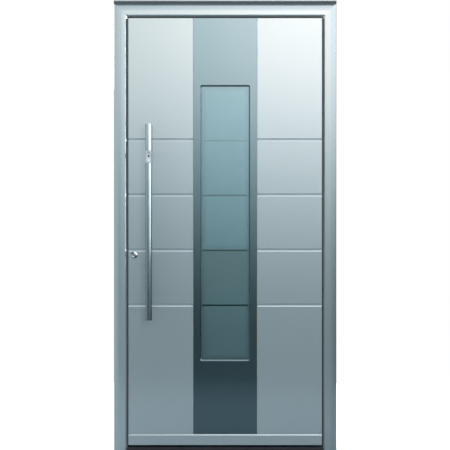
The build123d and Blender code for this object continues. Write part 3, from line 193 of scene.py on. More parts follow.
gloss = calc(finishGroup, "MULTIPLY_ADD", fineShift, taken["Gloss"], taken["Rough"])
feed(finishGroup, given["Color"], vecCalc(finishGroup, "SCALE", taken["Color"], scale=tone))
feed(finishGroup, given["Rough"], gloss)
feed(finishGroup, given["Normal"], bumpOf(finishGroup, fine, taken["Relief"], 0.0004))


def finished(name, color, rough, finish, **constants):
    mat, tree, shader = newMaterial(name, **constants)
    out = useGroup(tree, finishGroup, Color=color, Rough=rough, **finish)
    feed(tree, shader.inputs["Base Color"], out["Color"])
    feed(tree, shader.inputs["Roughness"], out["Rough"])
    feed(tree, shader.inputs["Normal"], out["Normal"])
    return mat


# What each kind of surface shares
coatFinish = {"Scale": 1500.0, "Tone": 0.08, "Relief": 0.05}
flake = {"Metallic": 0.35, "Coat_Weight": 1.0, "Coat_Roughness": 0.10}
strong = {"Metallic": 1.0}
dull = {"Specular_IOR_Level": 0.2}
brushDown = {"Scale": 2600.0, "Stretch": (1.0, 1.0, 0.01), "Gloss": 0.06, "Relief": 0.03}
brushAcross = {"Scale": 2600.0, "Stretch": (0.02, 1.0, 1.0), "Gloss": 0.16, "Relief": 0.2}

panelCoat = finished("panelCoat", (0.264, 0.346, 0.386, 1), 0.17, coatFinish, **flake)
frameCoat = finished("frameCoat", (0.262, 0.346, 0.384, 1), 0.17, coatFinish, **flake)
stripCoat = finished(
    "stripCoat", (0.065, 0.121, 0.149, 1), 0.16, coatFinish,
    Metallic=0.94, Coat_Weight=1.0, Coat_Roughness=0.09,
)
roomCoat = finished(
    "roomCoat", (0.300, 0.345, 0.362, 1), 0.34, coatFinish,
    Metallic=0.2, Coat_Weight=0.4,
)
capCoat = finished("capCoat", (0.360, 0.420, 0.450, 1), 0.32, coatFinish, Metallic=0.2, Coat_Weight=0.6)
jointDark = finished("jointDark", srgb(58, 70, 78), 0.5, {"Relief": 0.2, "Scale": 500.0})
sealGrey = finished(
    "sealGrey", (0.13, 0.19, 0.215, 1), 0.34, {"Relief": 0.1},
    Metallic=0.7, Coat_Weight=0.6,
)
rubberBlack = finished("rubberBlack", srgb(16, 20, 23), 0.62, {"Relief": 0.15}, **dull)
plasticBlack = finished("plasticBlack", srgb(20, 24, 27), 0.5, {"Relief": 0.1}, **dull)
cleatMetal = finished("cleatMetal", srgb(176, 178, 180), 0.38, {"Stretch": (1.0, 0.05, 1.0)}, **strong)
sillMetal = finished("sillMetal", srgb(38, 47, 57), 0.34, {"Stretch": (0.02, 1.0, 1.0)}, Metallic=0.6)
foamYellow = finished("foamYellow", srgb(214, 204, 160), 0.9, {"Scale": 260.0, "Relief": 0.5, "Tone": 0.2})
hingeCoat = finished("hingeCoat", srgb(120, 130, 134), 0.34, coatFinish, Metallic=0.3, Coat_Weight=0.5)
pinSteel = finished("pinSteel", srgb(190, 192, 192), 0.22, {"Gloss": 0.1}, **strong)
zincSteel = finished("zincSteel", srgb(166, 168, 164), 0.36, {"Scale": 500.0, "Tone": 0.14}, **strong)
screwSteel = finished("screwSteel", srgb(196, 198, 198), 0.26, {"Gloss": 0.1}, **strong)
platedBrass = finished("platedBrass", srgb(128, 142, 150), 0.24, {"Gloss": 0.1}, **strong)
spacerDark = finished("spacerDark", srgb(22, 23, 24), 0.5, {"Scale": 500.0})
readerMetal = finished(
    "readerMetal", srgb(166, 180, 187), 0.30, {"Scale": 2200.0, "Relief": 0.12},
    Metallic=0.3,
)
sensorBlack = finished("sensorBlack", srgb(6, 8, 10), 0.2, {"Relief": 0.0}, Specular_IOR_Level=0.25)
barSteel = finished("barSteel", srgb(148, 161, 168), 0.13, brushDown, **strong)
handleSteel = finished("handleSteel", srgb(190, 193, 194), 0.27, brushAcross, **strong)
plateSteel = finished("plateSteel", srgb(186, 189, 190), 0.3, brushDown, **strong)

# The rebates of frame and leaf, which face each other behind the lip, get painted shade: their coat colour is
# darkened there, where shade falls in the gap.
# Depths are measured from the street face.
rebate = {
    "halfWidth": 0.4990,
    "top": 2.1830,
    "front": 0.0226,
    "back": 0.045,
    "leafBack": 0.036,
    "frameShade": 0.15,
    "leafShade": 0.12,
}


# Painted shade: darkens a coat's colour inside a box of object coordinates
def paintShade(mat, shade, limits):
    tree = mat.node_tree
    socket = tree.nodes["Principled BSDF"].inputs["Base Color"]
    coat = socket.links[0].from_socket
    spot = splitPlace(tree, objectPlace(tree))
    inside = 1.0
    for axis, low, high in limits:
        value = calc(tree, "ABSOLUTE", spot[axis]) if axis == "X" else spot[axis]
        inside = calc(tree, "MULTIPLY", inside, calc(tree, "GREATER_THAN", value, low))
        inside = calc(tree, "MULTIPLY", inside, calc(tree, "LESS_THAN", value, high))
    level = calc(tree, "MULTIPLY_ADD", inside, shade - 1, 1.0)
    feed(tree, socket, vecCalc(tree, "SCALE", coat, scale=level))


# Painted shade in the frame's rebate, and on the leaf's profiles in front of the given depth
paintShade(frameCoat, rebate["frameShade"], [
    ("X", -1, rebate["halfWidth"]),
    ("Y", streetY + rebate["front"], streetY + rebate["back"]),
    ("Z", -1, rebate["top"]),
])
paintShade(roomCoat, rebate["leafShade"], [("Y", -1, streetY + rebate["leafBack"])])


# Metal turned on a lathe: rings round a centre, with a painted highlight on two opposite sectors and painted
# shade on the two others
def spunMetalPaintedHighlight(name, color, dark, middle, pitch):
    mat, tree, shader = newMaterial(name, Metallic=1.0, Roughness=0.3)
    flat = vecCalc(tree, "MULTIPLY", vecCalc(tree, "SUBTRACT", objectPlace(tree), middle), (1, 0, 1))
    parts = splitPlace(tree, flat)
    rings = noiseOf(tree, vecCalc(tree, "LENGTH", flat, out=1), 1 / pitch, 2.0, "1D")
    angle = calc(tree, "ARCTAN2", parts["Z"], parts["X"])
    # Painted highlight and painted shade: the colour turns from dark to bright with the angle round the centre
    highlightWave = calc(tree, "COSINE", calc(tree, "MULTIPLY_ADD", angle, 2.0, -math.pi / 2))
    share = spread(tree, highlightWave, -1.0, 1.0, smooth=True)
    feed(tree, shader.inputs["Base Color"], blendColors(tree, share, dark, color))
    feed(tree, shader.inputs["Normal"], bumpOf(tree, rings, 0.5, 0.0002))
    return mat


rosetteSteel = spunMetalPaintedHighlight(
    "rosetteSteel", srgb(196, 208, 212), srgb(62, 72, 78), (rosetteMiddle[0], 0, rosetteMiddle[2]), 0.0007
)

revealLow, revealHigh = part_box("window_reveal")
# Frosted pane with clear lines level with the panels' grooves. Its colour carries painted shade: its lower
# part is darker, standing for a darker room behind, and it darkens towards the rim.
pane = {
    "middle": (revealLow[2] + revealHigh[2]) / 2,
    "halfSeen": (0.121, 0.686),
    "lineHeights": [0.7275, 1.0030, 1.2785, 1.5530],
    "lineWidth": 0.0085,
    "frostUpper": (0.040, 0.098, 0.130, 1),
    "frostLowerShaded": (0.024, 0.062, 0.074, 1),
    "clear": (0.004, 0.010, 0.013, 1),
    "shadeTop": 1.040,  # painted shade: the upper part darkens down to its lowest line
    "shadeEnd": 1.008,
    "paintedShade": 0.72,
    "lowerShadeEnd": 0.80,  # painted shade: the lower part starts dark and clears up downwards
    "lowerShade": 0.60,
    # painted shade along the rim of the recessed opening
    "rim": 0.030,
    "rimShade": 0.38,
    "frostRough": (0.14, 0.22),
    "clearRough": 0.06,
}


def frostedGlass():
    mat, tree, shader = newMaterial("frostedGlass", IOR=2.3, Specular_Tint=(0.66, 1.0, 1.12, 1))
    place = objectPlace(tree)
    spot = splitPlace(tree, place)
    height = spot["Z"]
    lines = 0.0
    for middle in pane["lineHeights"]:
        lines = calc(tree, "MAXIMUM", lines, calc(tree, "COMPARE", height, middle, pane["lineWidth"] / 2))
    sparkle = noiseOf(tree, place, 1600.0)
    drift = noiseOf(tree, place, 5.0)
    parting = pane["lineHeights"][1]
    below = calc(tree, "LESS_THAN", height, parting)
    # Painted shade: the frost is darker below the middle line, and darker in a band above it, for a darker
    # room behind
    frost = blendColors(tree, below, pane["frostUpper"], pane["frostLowerShaded"])
    paintedShade = spread(tree, height, pane["shadeTop"], pane["shadeEnd"], 1.0, pane["paintedShade"], smooth=True)
    paintedShade = calc(tree, "MULTIPLY", paintedShade, calc(tree, "SUBTRACT", 1.0, below))
    lowerShade = spread(tree, height, parting, pane["lowerShadeEnd"], pane["lowerShade"], 1.0)
    paintedShade = calc(tree, "MULTIPLY_ADD", lowerShade, below, paintedShade)
    paintedShade = calc(tree, "MULTIPLY", paintedShade, spread(tree, drift, 0.3, 0.7, 0.94, 1.06))
    # Painted shade: the colour darkens towards the rim of the opening, where the recess shades the glass
    rimInX = calc(tree, "SUBTRACT", pane["halfSeen"][0], calc(tree, "ABSOLUTE", spot["X"]))
    fromMiddle = calc(tree, "ABSOLUTE", calc(tree, "SUBTRACT", height, pane["middle"]))
    rimInZ = calc(tree, "SUBTRACT", pane["halfSeen"][1], fromMiddle)
    rim = calc(tree, "MINIMUM", rimInX, rimInZ)
    rim = spread(tree, rim, 0.0, pane["rim"], pane["rimShade"], 1.0, smooth=True)
    frost = vecCalc(tree, "SCALE", frost, scale=calc(tree, "MULTIPLY", paintedShade, rim))
    feed(tree, shader.inputs["Base Color"], blendColors(tree, lines, frost, pane["clear"]))
    frosted = spread(tree, sparkle, 0.0, 1.0, *pane["frostRough"])
    smoother = calc(tree, "SUBTRACT", pane["clearRough"], frosted)
    feed(tree, shader.inputs["Roughness"], calc(tree, "MULTIPLY_ADD", lines, smoother, frosted))
    feed(tree, shader.inputs["Normal"], bumpOf(tree, sparkle, 0.12, 0.0003))
    return mat


def clearGlass():
    mat, tree, shader = newMaterial("clearGlass", IOR=1.5, Transmission_Weight=0.85, Roughness=0.03)
    tint = noiseOf(tree, objectPlace(tree), 4.0)
    feed(
        tree, shader.inputs["Base Color"],
        blendColors(tree, tint, srgb(196, 220, 218), srgb(204, 226, 224)),
    )
    return mat


frostPane = frostedGlass()
clearPane = clearGlass()
print("materials made")

# Each node's material
wearing = {
    frameCoat: ["frame_lock_jamb", "frame_hinge_jamb", "frame_head"],
    panelCoat: ["panel_lock_side", "panel_hinge_side", "bottom_cover"],
    stripCoat: ["centre_strip", "window_reveal"],
    roomCoat: ["leaf_lock_stile", "leaf_hinge_stile", "leaf_top_rail", "leaf_bottom_rail",
               "infill_inner_skin", "infill_beads", "window_inner_frame"],
    capCoat: ["head_cap"],
    jointDark: ["head_joint_strip"],
    plasticBlack: ["frame_insulating_bars", "leaf_insulating_bars", "threshold_core",
                   "panel_edge_frame"],
    rubberBlack: ["frame_stop_gasket", "threshold_end_blocks", "bottom_seal"],
    sealGrey: ["window_gasket"],
    cleatMetal: ["frame_corner_cleats", "leaf_corner_cleats"],
    sillMetal: ["threshold_rail"],
    foamYellow: ["infill_core"],
    hingeCoat: ["hinge_frame_wings", "hinge_leaf_wings"],
    pinSteel: ["hinge_pins"],
    zincSteel: ["opener_housing", "opener_jaw", "opener_jaw_pin", "lock_case",
                "side_bolt_cases", "latch_bolt", "dead_bolt", "side_bolts", "drive_rods",
                "lever_spindle"],
    screwSteel: ["frame_screws", "leaf_screws"],
    platedBrass: ["cylinder_body", "cylinder_plugs"],
    spacerDark: ["glass_spacers"],
    rosetteSteel: ["cylinder_rosette"],
    handleSteel: ["lever_handle"],
    plateSteel: ["handle_plate", "latch_keep", "side_bolt_keeps", "lock_faceplate"],
    barSteel: ["pull_bar", "pull_bar_caps", "pull_bar_standoffs"],
    readerMetal: ["reader_housing"],
    sensorBlack: ["reader_sensor"],
    frostPane: ["glass_outer"],
    clearPane: ["glass_inner_panes"],
}
for mat, names in wearing.items():
    for name in names:
        mesh = nodes[name].data
        mesh.materials.clear()
        mesh.materials.append(mat)


# Solids of one node, each as its own merged corner points
def solidsOf(name):
    work = bmesh.new()
    work.from_mesh(nodes[name].data)
    bmesh.ops.remove_doubles(work, verts=work.verts, dist=1e-6)
    left = set(work.verts)
    found = []
    while left:
        group, front = [], [left.pop()]
        while front:
            vert = front.pop()
            group.append(vert.co.copy())
            for edge in vert.link_edges:
                other = edge.other_vert(vert)
                if other in left:
                    left.remove(other)
                    front.append(other)
        found.append(group)
    work.free()
    return found


def meshPiece(name, verts, faces, mat):
    mesh = bpy.data.meshes.new(name)
    mesh.from_pydata([tuple(v) for v in verts], [], faces)
    mesh.materials.append(mat)
    piece = bpy.data.objects.new(name, mesh)
    bpy.context.scene.collection.objects.link(piece)
    return piece


def tidyNormals(mesh):
    work = bmesh.new()
    work.from_mesh(mesh)
    bmesh.ops.remove_doubles(work, verts=work.verts, dist=1e-6)
    bmesh.ops.recalc_face_normals(work, faces=work.faces)
    work.to_mesh(mesh)
    work.free()


# A turned form about the X axis: rows of (along, radius), where the radius may depend on the angle
def turnedMesh(name, rows, sides):
    verts, faces = [], []
    for along, radius in rows:
        for step in range(sides):
            angle = 2 * math.pi * step / sides
            reach = radius(angle) if callable(radius) else radius
            verts.append((along, reach * math.cos(angle), reach * math.sin(angle)))
    for row in range(len(rows) - 1):
        for step in range(sides):
            after = (step + 1) % sides
            faces.append((
                row * sides + step, row * sides + after,
                (row + 1) * sides + after, (row + 1) * sides + step,
            ))
    mesh = bpy.data.meshes.new(name)
    mesh.from_pydata(verts, [], faces)
    tidyNormals(mesh)
    return mesh


# Geometry Nodes tree that sets one form on every point, turned to the point's own direction
def setterTree():
    tree = bpy.data.node_groups.new("setOnPoints", "GeometryNodeTree")
    face = tree.interface
    face.new_socket("Geometry", in_out="INPUT", socket_type="NodeSocketGeometry")
    form = face.new_socket("Form", in_out="INPUT", socket_type="NodeSocketObject")
    size = face.new_socket("Size", in_out="INPUT", socket_type="NodeSocketFloat")
    size.default_value = 1.0
    wear = face.new_socket("Wear", in_out="INPUT", socket_type="NodeSocketMaterial")
    face.new_socket("Geometry", in_out="OUTPUT", socket_type="NodeSocketGeometry")
    start = tree.nodes.new("NodeGroupInput").outputs
    info = tree.nodes.new("GeometryNodeObjectInfo")
    direction = tree.nodes.new("GeometryNodeInputNamedAttribute")
    direction.data_type = "FLOAT_VECTOR"
    direction.inputs["Name"].default_value = "direction"
    align = tree.nodes.new("FunctionNodeAlignRotationToVector")
    align.axis = "X"
    onPoints = tree.nodes.new("GeometryNodeInstanceOnPoints")
    real = tree.nodes.new("GeometryNodeRealizeInstances")
    setMat = tree.nodes.new("GeometryNodeSetMaterial")
    end = tree.nodes.new("NodeGroupOutput").inputs
    feed(tree, info.inputs["Object"], start["Form"])
    feed(tree, align.inputs["Vector"], direction.outputs["Attribute"])
    feed(tree, onPoints.inputs["Points"], start["Geometry"])
    feed(tree, onPoints.inputs["Instance"], info.outputs["Geometry"])
    feed(tree, onPoints.inputs["Rotation"], align.outputs["Rotation"])
    feed(tree, onPoints.inputs["Scale"], start["Size"])
    feed(tree, real.inputs["Geometry"], onPoints.outputs["Instances"])
    feed(tree, setMat.inputs["Geometry"], real.outputs["Geometry"])
    feed(tree, setMat.inputs["Material"], start["Wear"])
    feed(tree, end["Geometry"], setMat.outputs["Geometry"])
    return tree, form.identifier, size.identifier, wear.identifier


setter, formSocket, sizeSocket, wearSocket = setterTree()


def setOnPoints(name, spots, form, mat):
    points = bpy.data.meshes.new(name + "Points")
    points.from_pydata([tuple(spot) for spot, way in spots], [], [])
    ways = points.attributes.new("direction", "FLOAT_VECTOR", "POINT")
    ways.data.foreach_set("vector", [part for spot, way in spots for part in way])
    maker = bpy.data.objects.new(name + "Maker", points)
    source = bpy.data.objects.new(name + "Form", form)
    for thing in (maker, source):
        bpy.context.scene.collection.objects.link(thing)
    modifier = maker.modifiers.new("setter", "NODES")
    modifier.node_group = setter
    modifier[formSocket] = source
    modifier[sizeSocket] = 1.0
    modifier[wearSocket] = mat
    view = bpy.context.evaluated_depsgraph_get()
    mesh = bpy.data.meshes.new_from_object(maker.evaluated_get(view))
    mesh.name = name
    for thing in (maker, source):
        bpy.data.objects.remove(thing)
    tidyNormals(mesh)
    piece = bpy.data.objects.new(name, mesh)
    bpy.context.scene.collection.objects.link(piece)
    return piece


# Screws: countersunk, with a six-lobed recess and a threaded shank
screw = {
    "head": 0.0044,
    "core": 0.0025,
    "length": 0.012,
    "recess": 0.0019,
    "deep": 0.0014,
    "pitch": 0.0008,
    "sides": 24,
}


def lobes(angle):
    return screw["recess"] * (1 + 0.16 * math.cos(6 * angle))


def screwForm():
    drop = screw["head"] - screw["core"]
    rows = [
        (screw["deep"] + 0.0004, 0.0),
        (screw["deep"], lambda a: lobes(a) * 0.86),
        (0.0001, lobes),
        (0.0, lambda a: lobes(a) * 1.06),
        (0.0, screw["head"] - 0.0003),
        (0.00025, screw["head"]),
        (drop, screw["core"]),
    ]
    along = drop + screw["pitch"]
    while along < screw["length"] - 0.0018:
        rows += [(along, screw["core"] * 0.84), (along + screw["pitch"] / 2, screw["core"])]
        along += screw["pitch"]
    rows += [(screw["length"] - 0.0008, screw["core"] * 0.7), (screw["length"], 0.0)]
    return turnedMesh("screwForm", rows, screw["sides"])


def cornersOf(group):
    low = Vector([min(v[i] for v in group) for i in range(3)])
    high = Vector([max(v[i] for v in group) for i in range(3)])
    return low, high


def screwSpots(name):
    spots = []
    for group in solidsOf(name):
        low, high = cornersOf(group)
        size = high - low
        axis = max(range(3), key=lambda i: size[i])
        middle = (low + high) / 2

        def reachAt(end):
            return max((Vector(v) - middle).length for v in group if abs(v[axis] - end) < 1e-4)

        headHigh = reachAt(high[axis]) > reachAt(low[axis])
        middle[axis] = high[axis] if headHigh else low[axis]
        way = Vector((0, 0, 0))
        way[axis] = -1 if headHigh else 1
        spots.append((middle, way))
    return spots


for name, pieceName, body in (
    ("frame_screws", "frameScrews", "frame"),
    ("leaf_screws", "leafScrews", "leaf"),
):
    screws = setOnPoints(pieceName, screwSpots(name), screwForm(), screwSteel)
    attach(screws, body)
    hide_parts(name)
print("screws set")

# Hinge pins: turned, with a low dome and a groove on each cap
pin = {"radius": 0.004, "cap": 0.003, "dome": 0.0014, "grooveDepth": 0.0004, "sides": 40}


def pinForm(length, capRadius):
    cap = pin["cap"]
    half = length / 2
    oneEnd = [(-half, 0.0)]
    for step in range(1, 7):
        turn = step / 6 * math.pi / 2
        oneEnd.append((-half + pin["dome"] * (1 - math.cos(turn)), capRadius * 0.98 * math.sin(turn)))
    oneEnd += [
        (-half + pin["dome"] + 0.0002, capRadius),
        (-half + cap * 0.68, capRadius),
        (-half + cap * 0.72, capRadius - pin["grooveDepth"]),
        (-half + cap * 0.82, capRadius - pin["grooveDepth"]),
        (-half + cap * 0.86, capRadius),
        (-half + cap, capRadius),
        (-half + cap, pin["radius"]),
    ]
    rows = oneEnd + [(-along, radius) for along, radius in reversed(oneEnd)]
    return turnedMesh("pinForm", rows, pin["sides"])


pinSpots = []
for group in solidsOf("hinge_pins"):
    low, high = cornersOf(group)
    pinSpots.append(((low + high) / 2, (0, 0, 1)))
hingePins = setOnPoints("hingePins", pinSpots, pinForm(high[2] - low[2], (high[0] - low[0]) / 2), pinSteel)
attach(hingePins, "frame")
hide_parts("hinge_pins")
print("hinge pins turned")


# A section swept along an open or closed path of straight runs, with mitred corners
def sweptPiece(name, path, section, closed, mat):
    count = len(path)
    verts, faces = [], []
    corners = [Vector((across, 0, height)) for across, height in path]
    for index, point in enumerate(corners):
        runs = []
        if closed or index > 0:
            runs.append((point - corners[index - 1]).normalized())
        if closed or index < count - 1:
            runs.append((corners[(index + 1) % count] - point).normalized())
        sides = [Vector((run.z, 0, -run.x)) for run in runs]
        side = sum(sides, Vector()) / len(sides)
        side = side / side.length_squared
        for across, depth in section:
            spot = point + side * across
            verts.append((spot.x, streetY + depth, spot.z))
    size = len(section)
    for index in range(count if closed else count - 1):
        nextIndex = (index + 1) % count
        for step in range(size):
            following = (step + 1) % size
            faces.append((
                index * size + step, index * size + following,
                nextIndex * size + following, nextIndex * size + step,
            ))
    if not closed:
        faces.append(tuple(reversed(range(size))))
        faces.append(tuple(range((count - 1) * size, count * size)))
    piece = meshPiece(name, verts, faces, mat)
    tidyNormals(piece.data)
    return piece


def arcPoints(middle, radius, start, end, steps):
    return [
        (
            middle[0] + radius * math.cos(math.radians(start + (end - start) * step / steps)),
            middle[1] + radius * math.sin(math.radians(start + (end - start) * step / steps)),
        )
        for step in range(steps + 1)
    ]


# Stop gasket: a foot in the frame's groove, a round bulb and a thin lip towards the leaf
seal = {"width": 0.007, "foot": 0.0012, "bulb": 0.0022, "bulbInset": 0.0026}
sealLow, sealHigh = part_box("frame_stop_gasket")
sealBack, sealFront = sealLow[1] - streetY, sealHigh[1] - streetY
bulbMiddle = (seal["bulbInset"] - seal["width"], sealFront - seal["bulb"])
sealSection = [(0.0, sealBack), (-seal["width"], sealBack), (-seal["width"], sealBack + seal["foot"])]
sealSection += arcPoints(bulbMiddle, seal["bulb"], 200, 60, 7)
sealSection += [(-0.0026, sealBack + 0.0026), (-0.0012, sealFront - 0.0006), (0.0, sealFront - 0.0004)]
sealPath = [
    (sealHigh[0], sealLow[2]), (sealHigh[0], sealHigh[2]),
    (-sealHigh[0], sealHigh[2]), (-sealHigh[0], sealLow[2]),
]
stopGasket = sweptPiece("stopGasket", sealPath, sealSection, False, rubberBlack)
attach(stopGasket, "frame")
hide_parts("frame_stop_gasket")


# Window gasket: a rounded lip pressed on the glass all round the opening
def roundedPath(low, high, radius, steps):
    path = []
    for cornerX, cornerZ, start in (
        (high[0] - radius, high[1] - radius, 0),
        (low[0] + radius, high[1] - radius, 90),
        (low[0] + radius, low[1] + radius, 180),
        (high[0] - radius, low[1] + radius, 270),
    ):
        path += arcPoints((cornerX, cornerZ), radius, start, start + 90, steps)
    return path


lip = {"inset": 0.010, "corner": 0.005, "bulge": 0.0016, "air": 0.0001}
gasketLow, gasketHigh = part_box("window_gasket")
glassFront = paneFront - streetY
gasketThick = gasketHigh[1] - gasketLow[1]
lipPath = roundedPath(
    (gasketLow[0] + lip["inset"], gasketLow[2] + lip["inset"]),
    (gasketHigh[0] - lip["inset"], gasketHigh[2] - lip["inset"]),
    lip["corner"], 5,
)
lipSection = [(0.0005, glassFront - gasketThick * 0.8)]
lipSection += arcPoints((-0.0006, glassFront - gasketThick * 0.55), lip["bulge"], 110, 250, 6)
lipSection += [(-0.0022, glassFront - lip["air"]), (0.0005, glassFront - lip["air"])]
gasketLip = sweptPiece("windowGasketLip", lipPath, lipSection, True, sealGrey)
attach(gasketLip, "leaf")
print("gaskets swept")

# Floor: plain and pale, white where nothing shades it
ground = {
    "reach": 3.4,
    "color": (0.82, 0.83, 0.84, 1),
    "mirrored": (0.265, 0.33, 0.375, 1),
    "glow": 0.62,
}
floorPale, floorTree, floorShader = newMaterial("floorPale", Roughness=0.95)
floorRays = floorTree.nodes.new("ShaderNodeLightPath").outputs
floorColor = blendColors(floorTree, floorRays["Is Glossy Ray"], ground["color"], ground["mirrored"])
feed(floorTree, floorShader.inputs["Base Color"], floorColor)
floorShader.inputs["Emission Color"].default_value = (1, 1, 1, 1)
floorGlow = calc(floorTree, "MULTIPLY", floorRays["Is Camera Ray"], ground["glow"])
feed(floorTree, floorShader.inputs["Emission Strength"], floorGlow)
reach = ground["reach"]
floorCorners = [(-reach, -reach, 0), (reach, -reach, 0), (reach, reach, 0), (-reach, reach, 0)]
floor = meshPiece("floor", floorCorners, [(0, 1, 2, 3)], floorPale)
print("floor laid")

# World: white to the eye. Surfaces mirror a bright sky above dark ground, brighter and warmer to the right.
# The plain light that shades them comes more from the left. Ranges are parts of the direction's X, Y or Z.
sky = {
    "stops": [  # elevation in degrees, level, red and blue against green
        (-30, 0.30, 0.9, 1.0), (-9, 0.34, 0.8, 1.0), (-7, 0.30, 0.75, 1.0), (-5.5, 0.10, 0.7, 1.0),
        (-4.2, 0.03, 0.7, 0.9), (-2.8, 0.06, 0.55, 0.85), (-1.3, 0.30, 0.62, 0.88), (0, 0.68, 0.75, 0.92),
        (1.5, 1.28, 0.86, 0.96), (3, 2.10, 0.94, 1.0), (4.5, 3.10, 1.03, 0.97), (6, 3.95, 1.08, 0.92),
        (8, 4.50, 1.10, 0.90), (13, 4.20, 1.10, 0.92), (24, 3.20, 1.05, 0.98), (50, 2.60, 1.0, 1.0),
        (75, 2.40, 1.0, 1.0),
    ],
    "sideStops": [  # what the frame's crown mirrors far to the right
        (-5, 0.04, 1, 1), (-3, 0.06, 1, 1), (-1, 0.40, 0.8, 0.95), (1, 1.15, 0.86, 0.96), (3, 2.6, 0.94, 1),
        (4, 3.4, 1, 1), (7, 4.8, 1, 1), (20, 4.6, 1, 1), (60, 2.6, 1, 1),
    ],
    "peak": 5.2,
    "gainRange": (-0.09, 0.05), "gain": (0.66, 1.20),
    "leftTint": (0.97, 1.0, 1.0, 1), "rightTint": (1.08, 1.0, 0.99, 1),
    "fallRange": (-0.5, -0.2), "fall": 0.80,
    "leftRange": (-0.68, -0.82), "leftSky": 0.28, "leftPlain": (0.46, 0.51, 0.54),
    "sideRange": (0.45, 0.62),
    "behindRange": (0.25, 0.5),
    "roomRange": (-0.35, 0.25), "roomLow": (0.40, 0.10),
    "roomHighRange": (-0.05, 0.5), "roomHigh": 0.55,
    "backRange": (0.40, 0.55), "backSky": 0.12, "backPlain": (0.05, 0.05, 0.05),
    "plainRange": (-0.40, 0.40), "plain": (0.94, 0.04),
    "plainHighRange": (-0.35, 0.4), "plainHigh": (0.5, 1.5),
}
world = bpy.data.worlds.new("studio")
bpy.context.scene.world = world
world.use_nodes = True
skyTree = world.node_tree
heading = splitPlace(skyTree, skyTree.nodes.new("ShaderNodeTexCoord").outputs["Generated"])
rays = skyTree.nodes.new("ShaderNodeLightPath").outputs


def levelBy(stops):
    lowest, highest = (math.sin(math.radians(stops[end][0])) for end in (0, -1))
    marks = []
    for degrees, level, red, blue in stops:
        shade = level / sky["peak"]
        position = (math.sin(math.radians(degrees)) - lowest) / (highest - lowest)
        marks.append((position, (shade * red, shade, shade * blue, 1)))
    colors = ramp(skyTree, spread(skyTree, heading["Z"], lowest, highest), marks)
    return vecCalc(skyTree, "SCALE", colors, scale=sky["peak"])


def over(axis, name, low=0.0, high=1.0):
    return spread(skyTree, heading[axis], *sky[name], low, high, smooth=True)


def plainAnd(plain, share):
    return vecCalc(skyTree, "ADD", vecCalc(skyTree, "SCALE", skyLevel, scale=share), plain)


skyLevel = levelBy(sky["stops"])
toRight = over("X", "gainRange")
gain = spread(skyTree, toRight, 0.0, 1.0, *sky["gain"])
gain = calc(skyTree, "MULTIPLY", gain, over("X", "fallRange", sky["fall"], 1.0))
tint = blendColors(skyTree, toRight, sky["leftTint"], sky["rightTint"])
mirrored = vecCalc(skyTree, "MULTIPLY", skyLevel, tint)
mirrored = vecCalc(skyTree, "SCALE", mirrored, scale=gain)
mirrored = blendColors(skyTree, over("X", "leftRange"), mirrored, plainAnd(sky["leftPlain"], sky["leftSky"]))
mirrored = blendColors(skyTree, over("X", "sideRange"), mirrored, levelBy(sky["sideStops"]))

# The half behind the door: a dim room, darker to the right
roomLevel = calc(
    skyTree, "ADD",
    over("X", "roomRange", *sky["roomLow"]), over("Z", "roomHighRange", 0.0, sky["roomHigh"]),
)
roomColor = vecCalc(skyTree, "SCALE", (1.0, 1.0, 1.0), scale=roomLevel)
roomColor = blendColors(skyTree, over("X", "backRange"), roomColor, plainAnd(sky["backPlain"], sky["backSky"]))
mirrored = blendColors(skyTree, over("Y", "behindRange"), mirrored, roomColor)

plainLevel = calc(
    skyTree, "MULTIPLY", over("X", "plainRange", *sky["plain"]), over("Z", "plainHighRange", *sky["plainHigh"])
)
plainColor = vecCalc(skyTree, "SCALE", (1.0, 1.0, 1.0), scale=plainLevel)
lit = blendColors(skyTree, rays["Is Glossy Ray"], plainColor, mirrored)
whiteRays = calc(skyTree, "MAXIMUM", rays["Is Camera Ray"], rays["Is Transmission Ray"])
feed(skyTree, skyTree.nodes["Background"].inputs["Color"], blendColors(skyTree, whiteRays, lit, (1, 1, 1, 1)))
print("sky set")

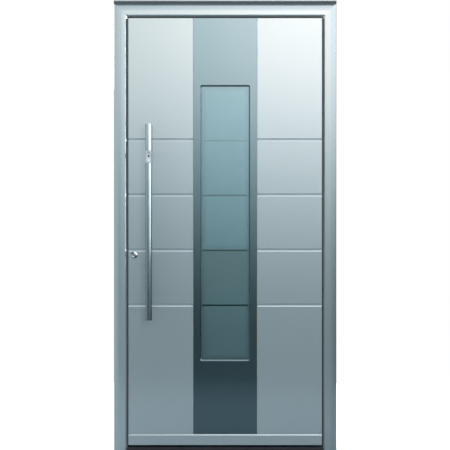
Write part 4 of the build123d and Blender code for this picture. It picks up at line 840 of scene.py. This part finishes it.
# Lamps: place, aim, size and power. Those with a list of nodes light only these, or all but these.
lamps = {
    "keyLamp": {
        "place": (0.4, -2.3, 1.7), "aim": (-0.2, 0, 1.1), "size": (0.8, 1.9), "power": 20,
        "allBut": ["frame_hinge_jamb"],  # the hinge side's jamb stays darker
    },
    "fillLamp": {"place": (-4.6, -2.2, 1.6), "aim": (0, 0, 1.1), "size": (3.0, 2.6), "power": 30},
    "roomLamp": {"place": (-1.8, 4.2, 3.4), "aim": (0, 0, 1.1), "size": (2.6, 2.6), "power": 110},
    "stripLight": {  # the highlight down the bright metal
        "place": (1.85, -1.85, 1.90), "aim": (-0.38, -0.1, 1.60), "size": (0.6, 1.85), "power": 24,
        "only": ["pull_bar", "pull_bar_caps", "pull_bar_standoffs", "cylinder_rosette"],
    },
    "lipLight": {  # far to the hinge side, it draws the lip of the lock side's jamb
        "place": (3.0, -0.36, 1.85), "aim": (-0.5, streetY, 1.75), "size": (0.5, 1.9), "power": 30,
        "only": ["frame_lock_jamb"],
    },
}
unmirrored = ["keyLamp", "fillLamp"]


def areaLamp(name, values):
    data = bpy.data.lights.new(name, "AREA")
    data.shape = "RECTANGLE"
    data.size, data.size_y = values["size"]
    data.energy = values["power"]
    lamp = bpy.data.objects.new(name, data)
    lamp.location = values["place"]
    toAim = Vector(values["aim"]) - lamp.location
    lamp.rotation_euler = toAim.to_track_quat("-Z", "Y").to_euler()
    lamp.visible_glossy = name not in unmirrored
    bpy.context.scene.collection.objects.link(lamp)
    linked = values.get("only") or values.get("allBut")
    if linked:
        group = bpy.data.collections.new(name + "Group")
        for nodeName in linked:
            group.objects.link(nodes[nodeName])
        lamp.light_linking.receiver_collection = group
        if "allBut" in values:
            for entry in group.collection_objects:
                entry.light_linking.link_state = "EXCLUDE"


for lampName, values in lamps.items():
    areaLamp(lampName, values)
print("lamps set:", len(lamps))

# Camera: level with the middle of the door and square to it
view = {"distance": 8.0, "height": 1.130, "across": -0.0008, "wide": 2.25}
cameraData = bpy.data.cameras.new("camera")
camera = bpy.data.objects.new("camera", cameraData)
bpy.context.scene.collection.objects.link(camera)
camera.location = (view["across"], streetY - view["distance"], view["height"])
camera.rotation_euler = (math.radians(90), 0, 0)
cameraData.sensor_width = 36.0
cameraData.lens = cameraData.sensor_width * view["distance"] / view["wide"]
cameraData.clip_end = 60
bpy.context.scene.camera = camera
bpy.context.scene.view_settings.view_transform = "Standard"
print("camera set")
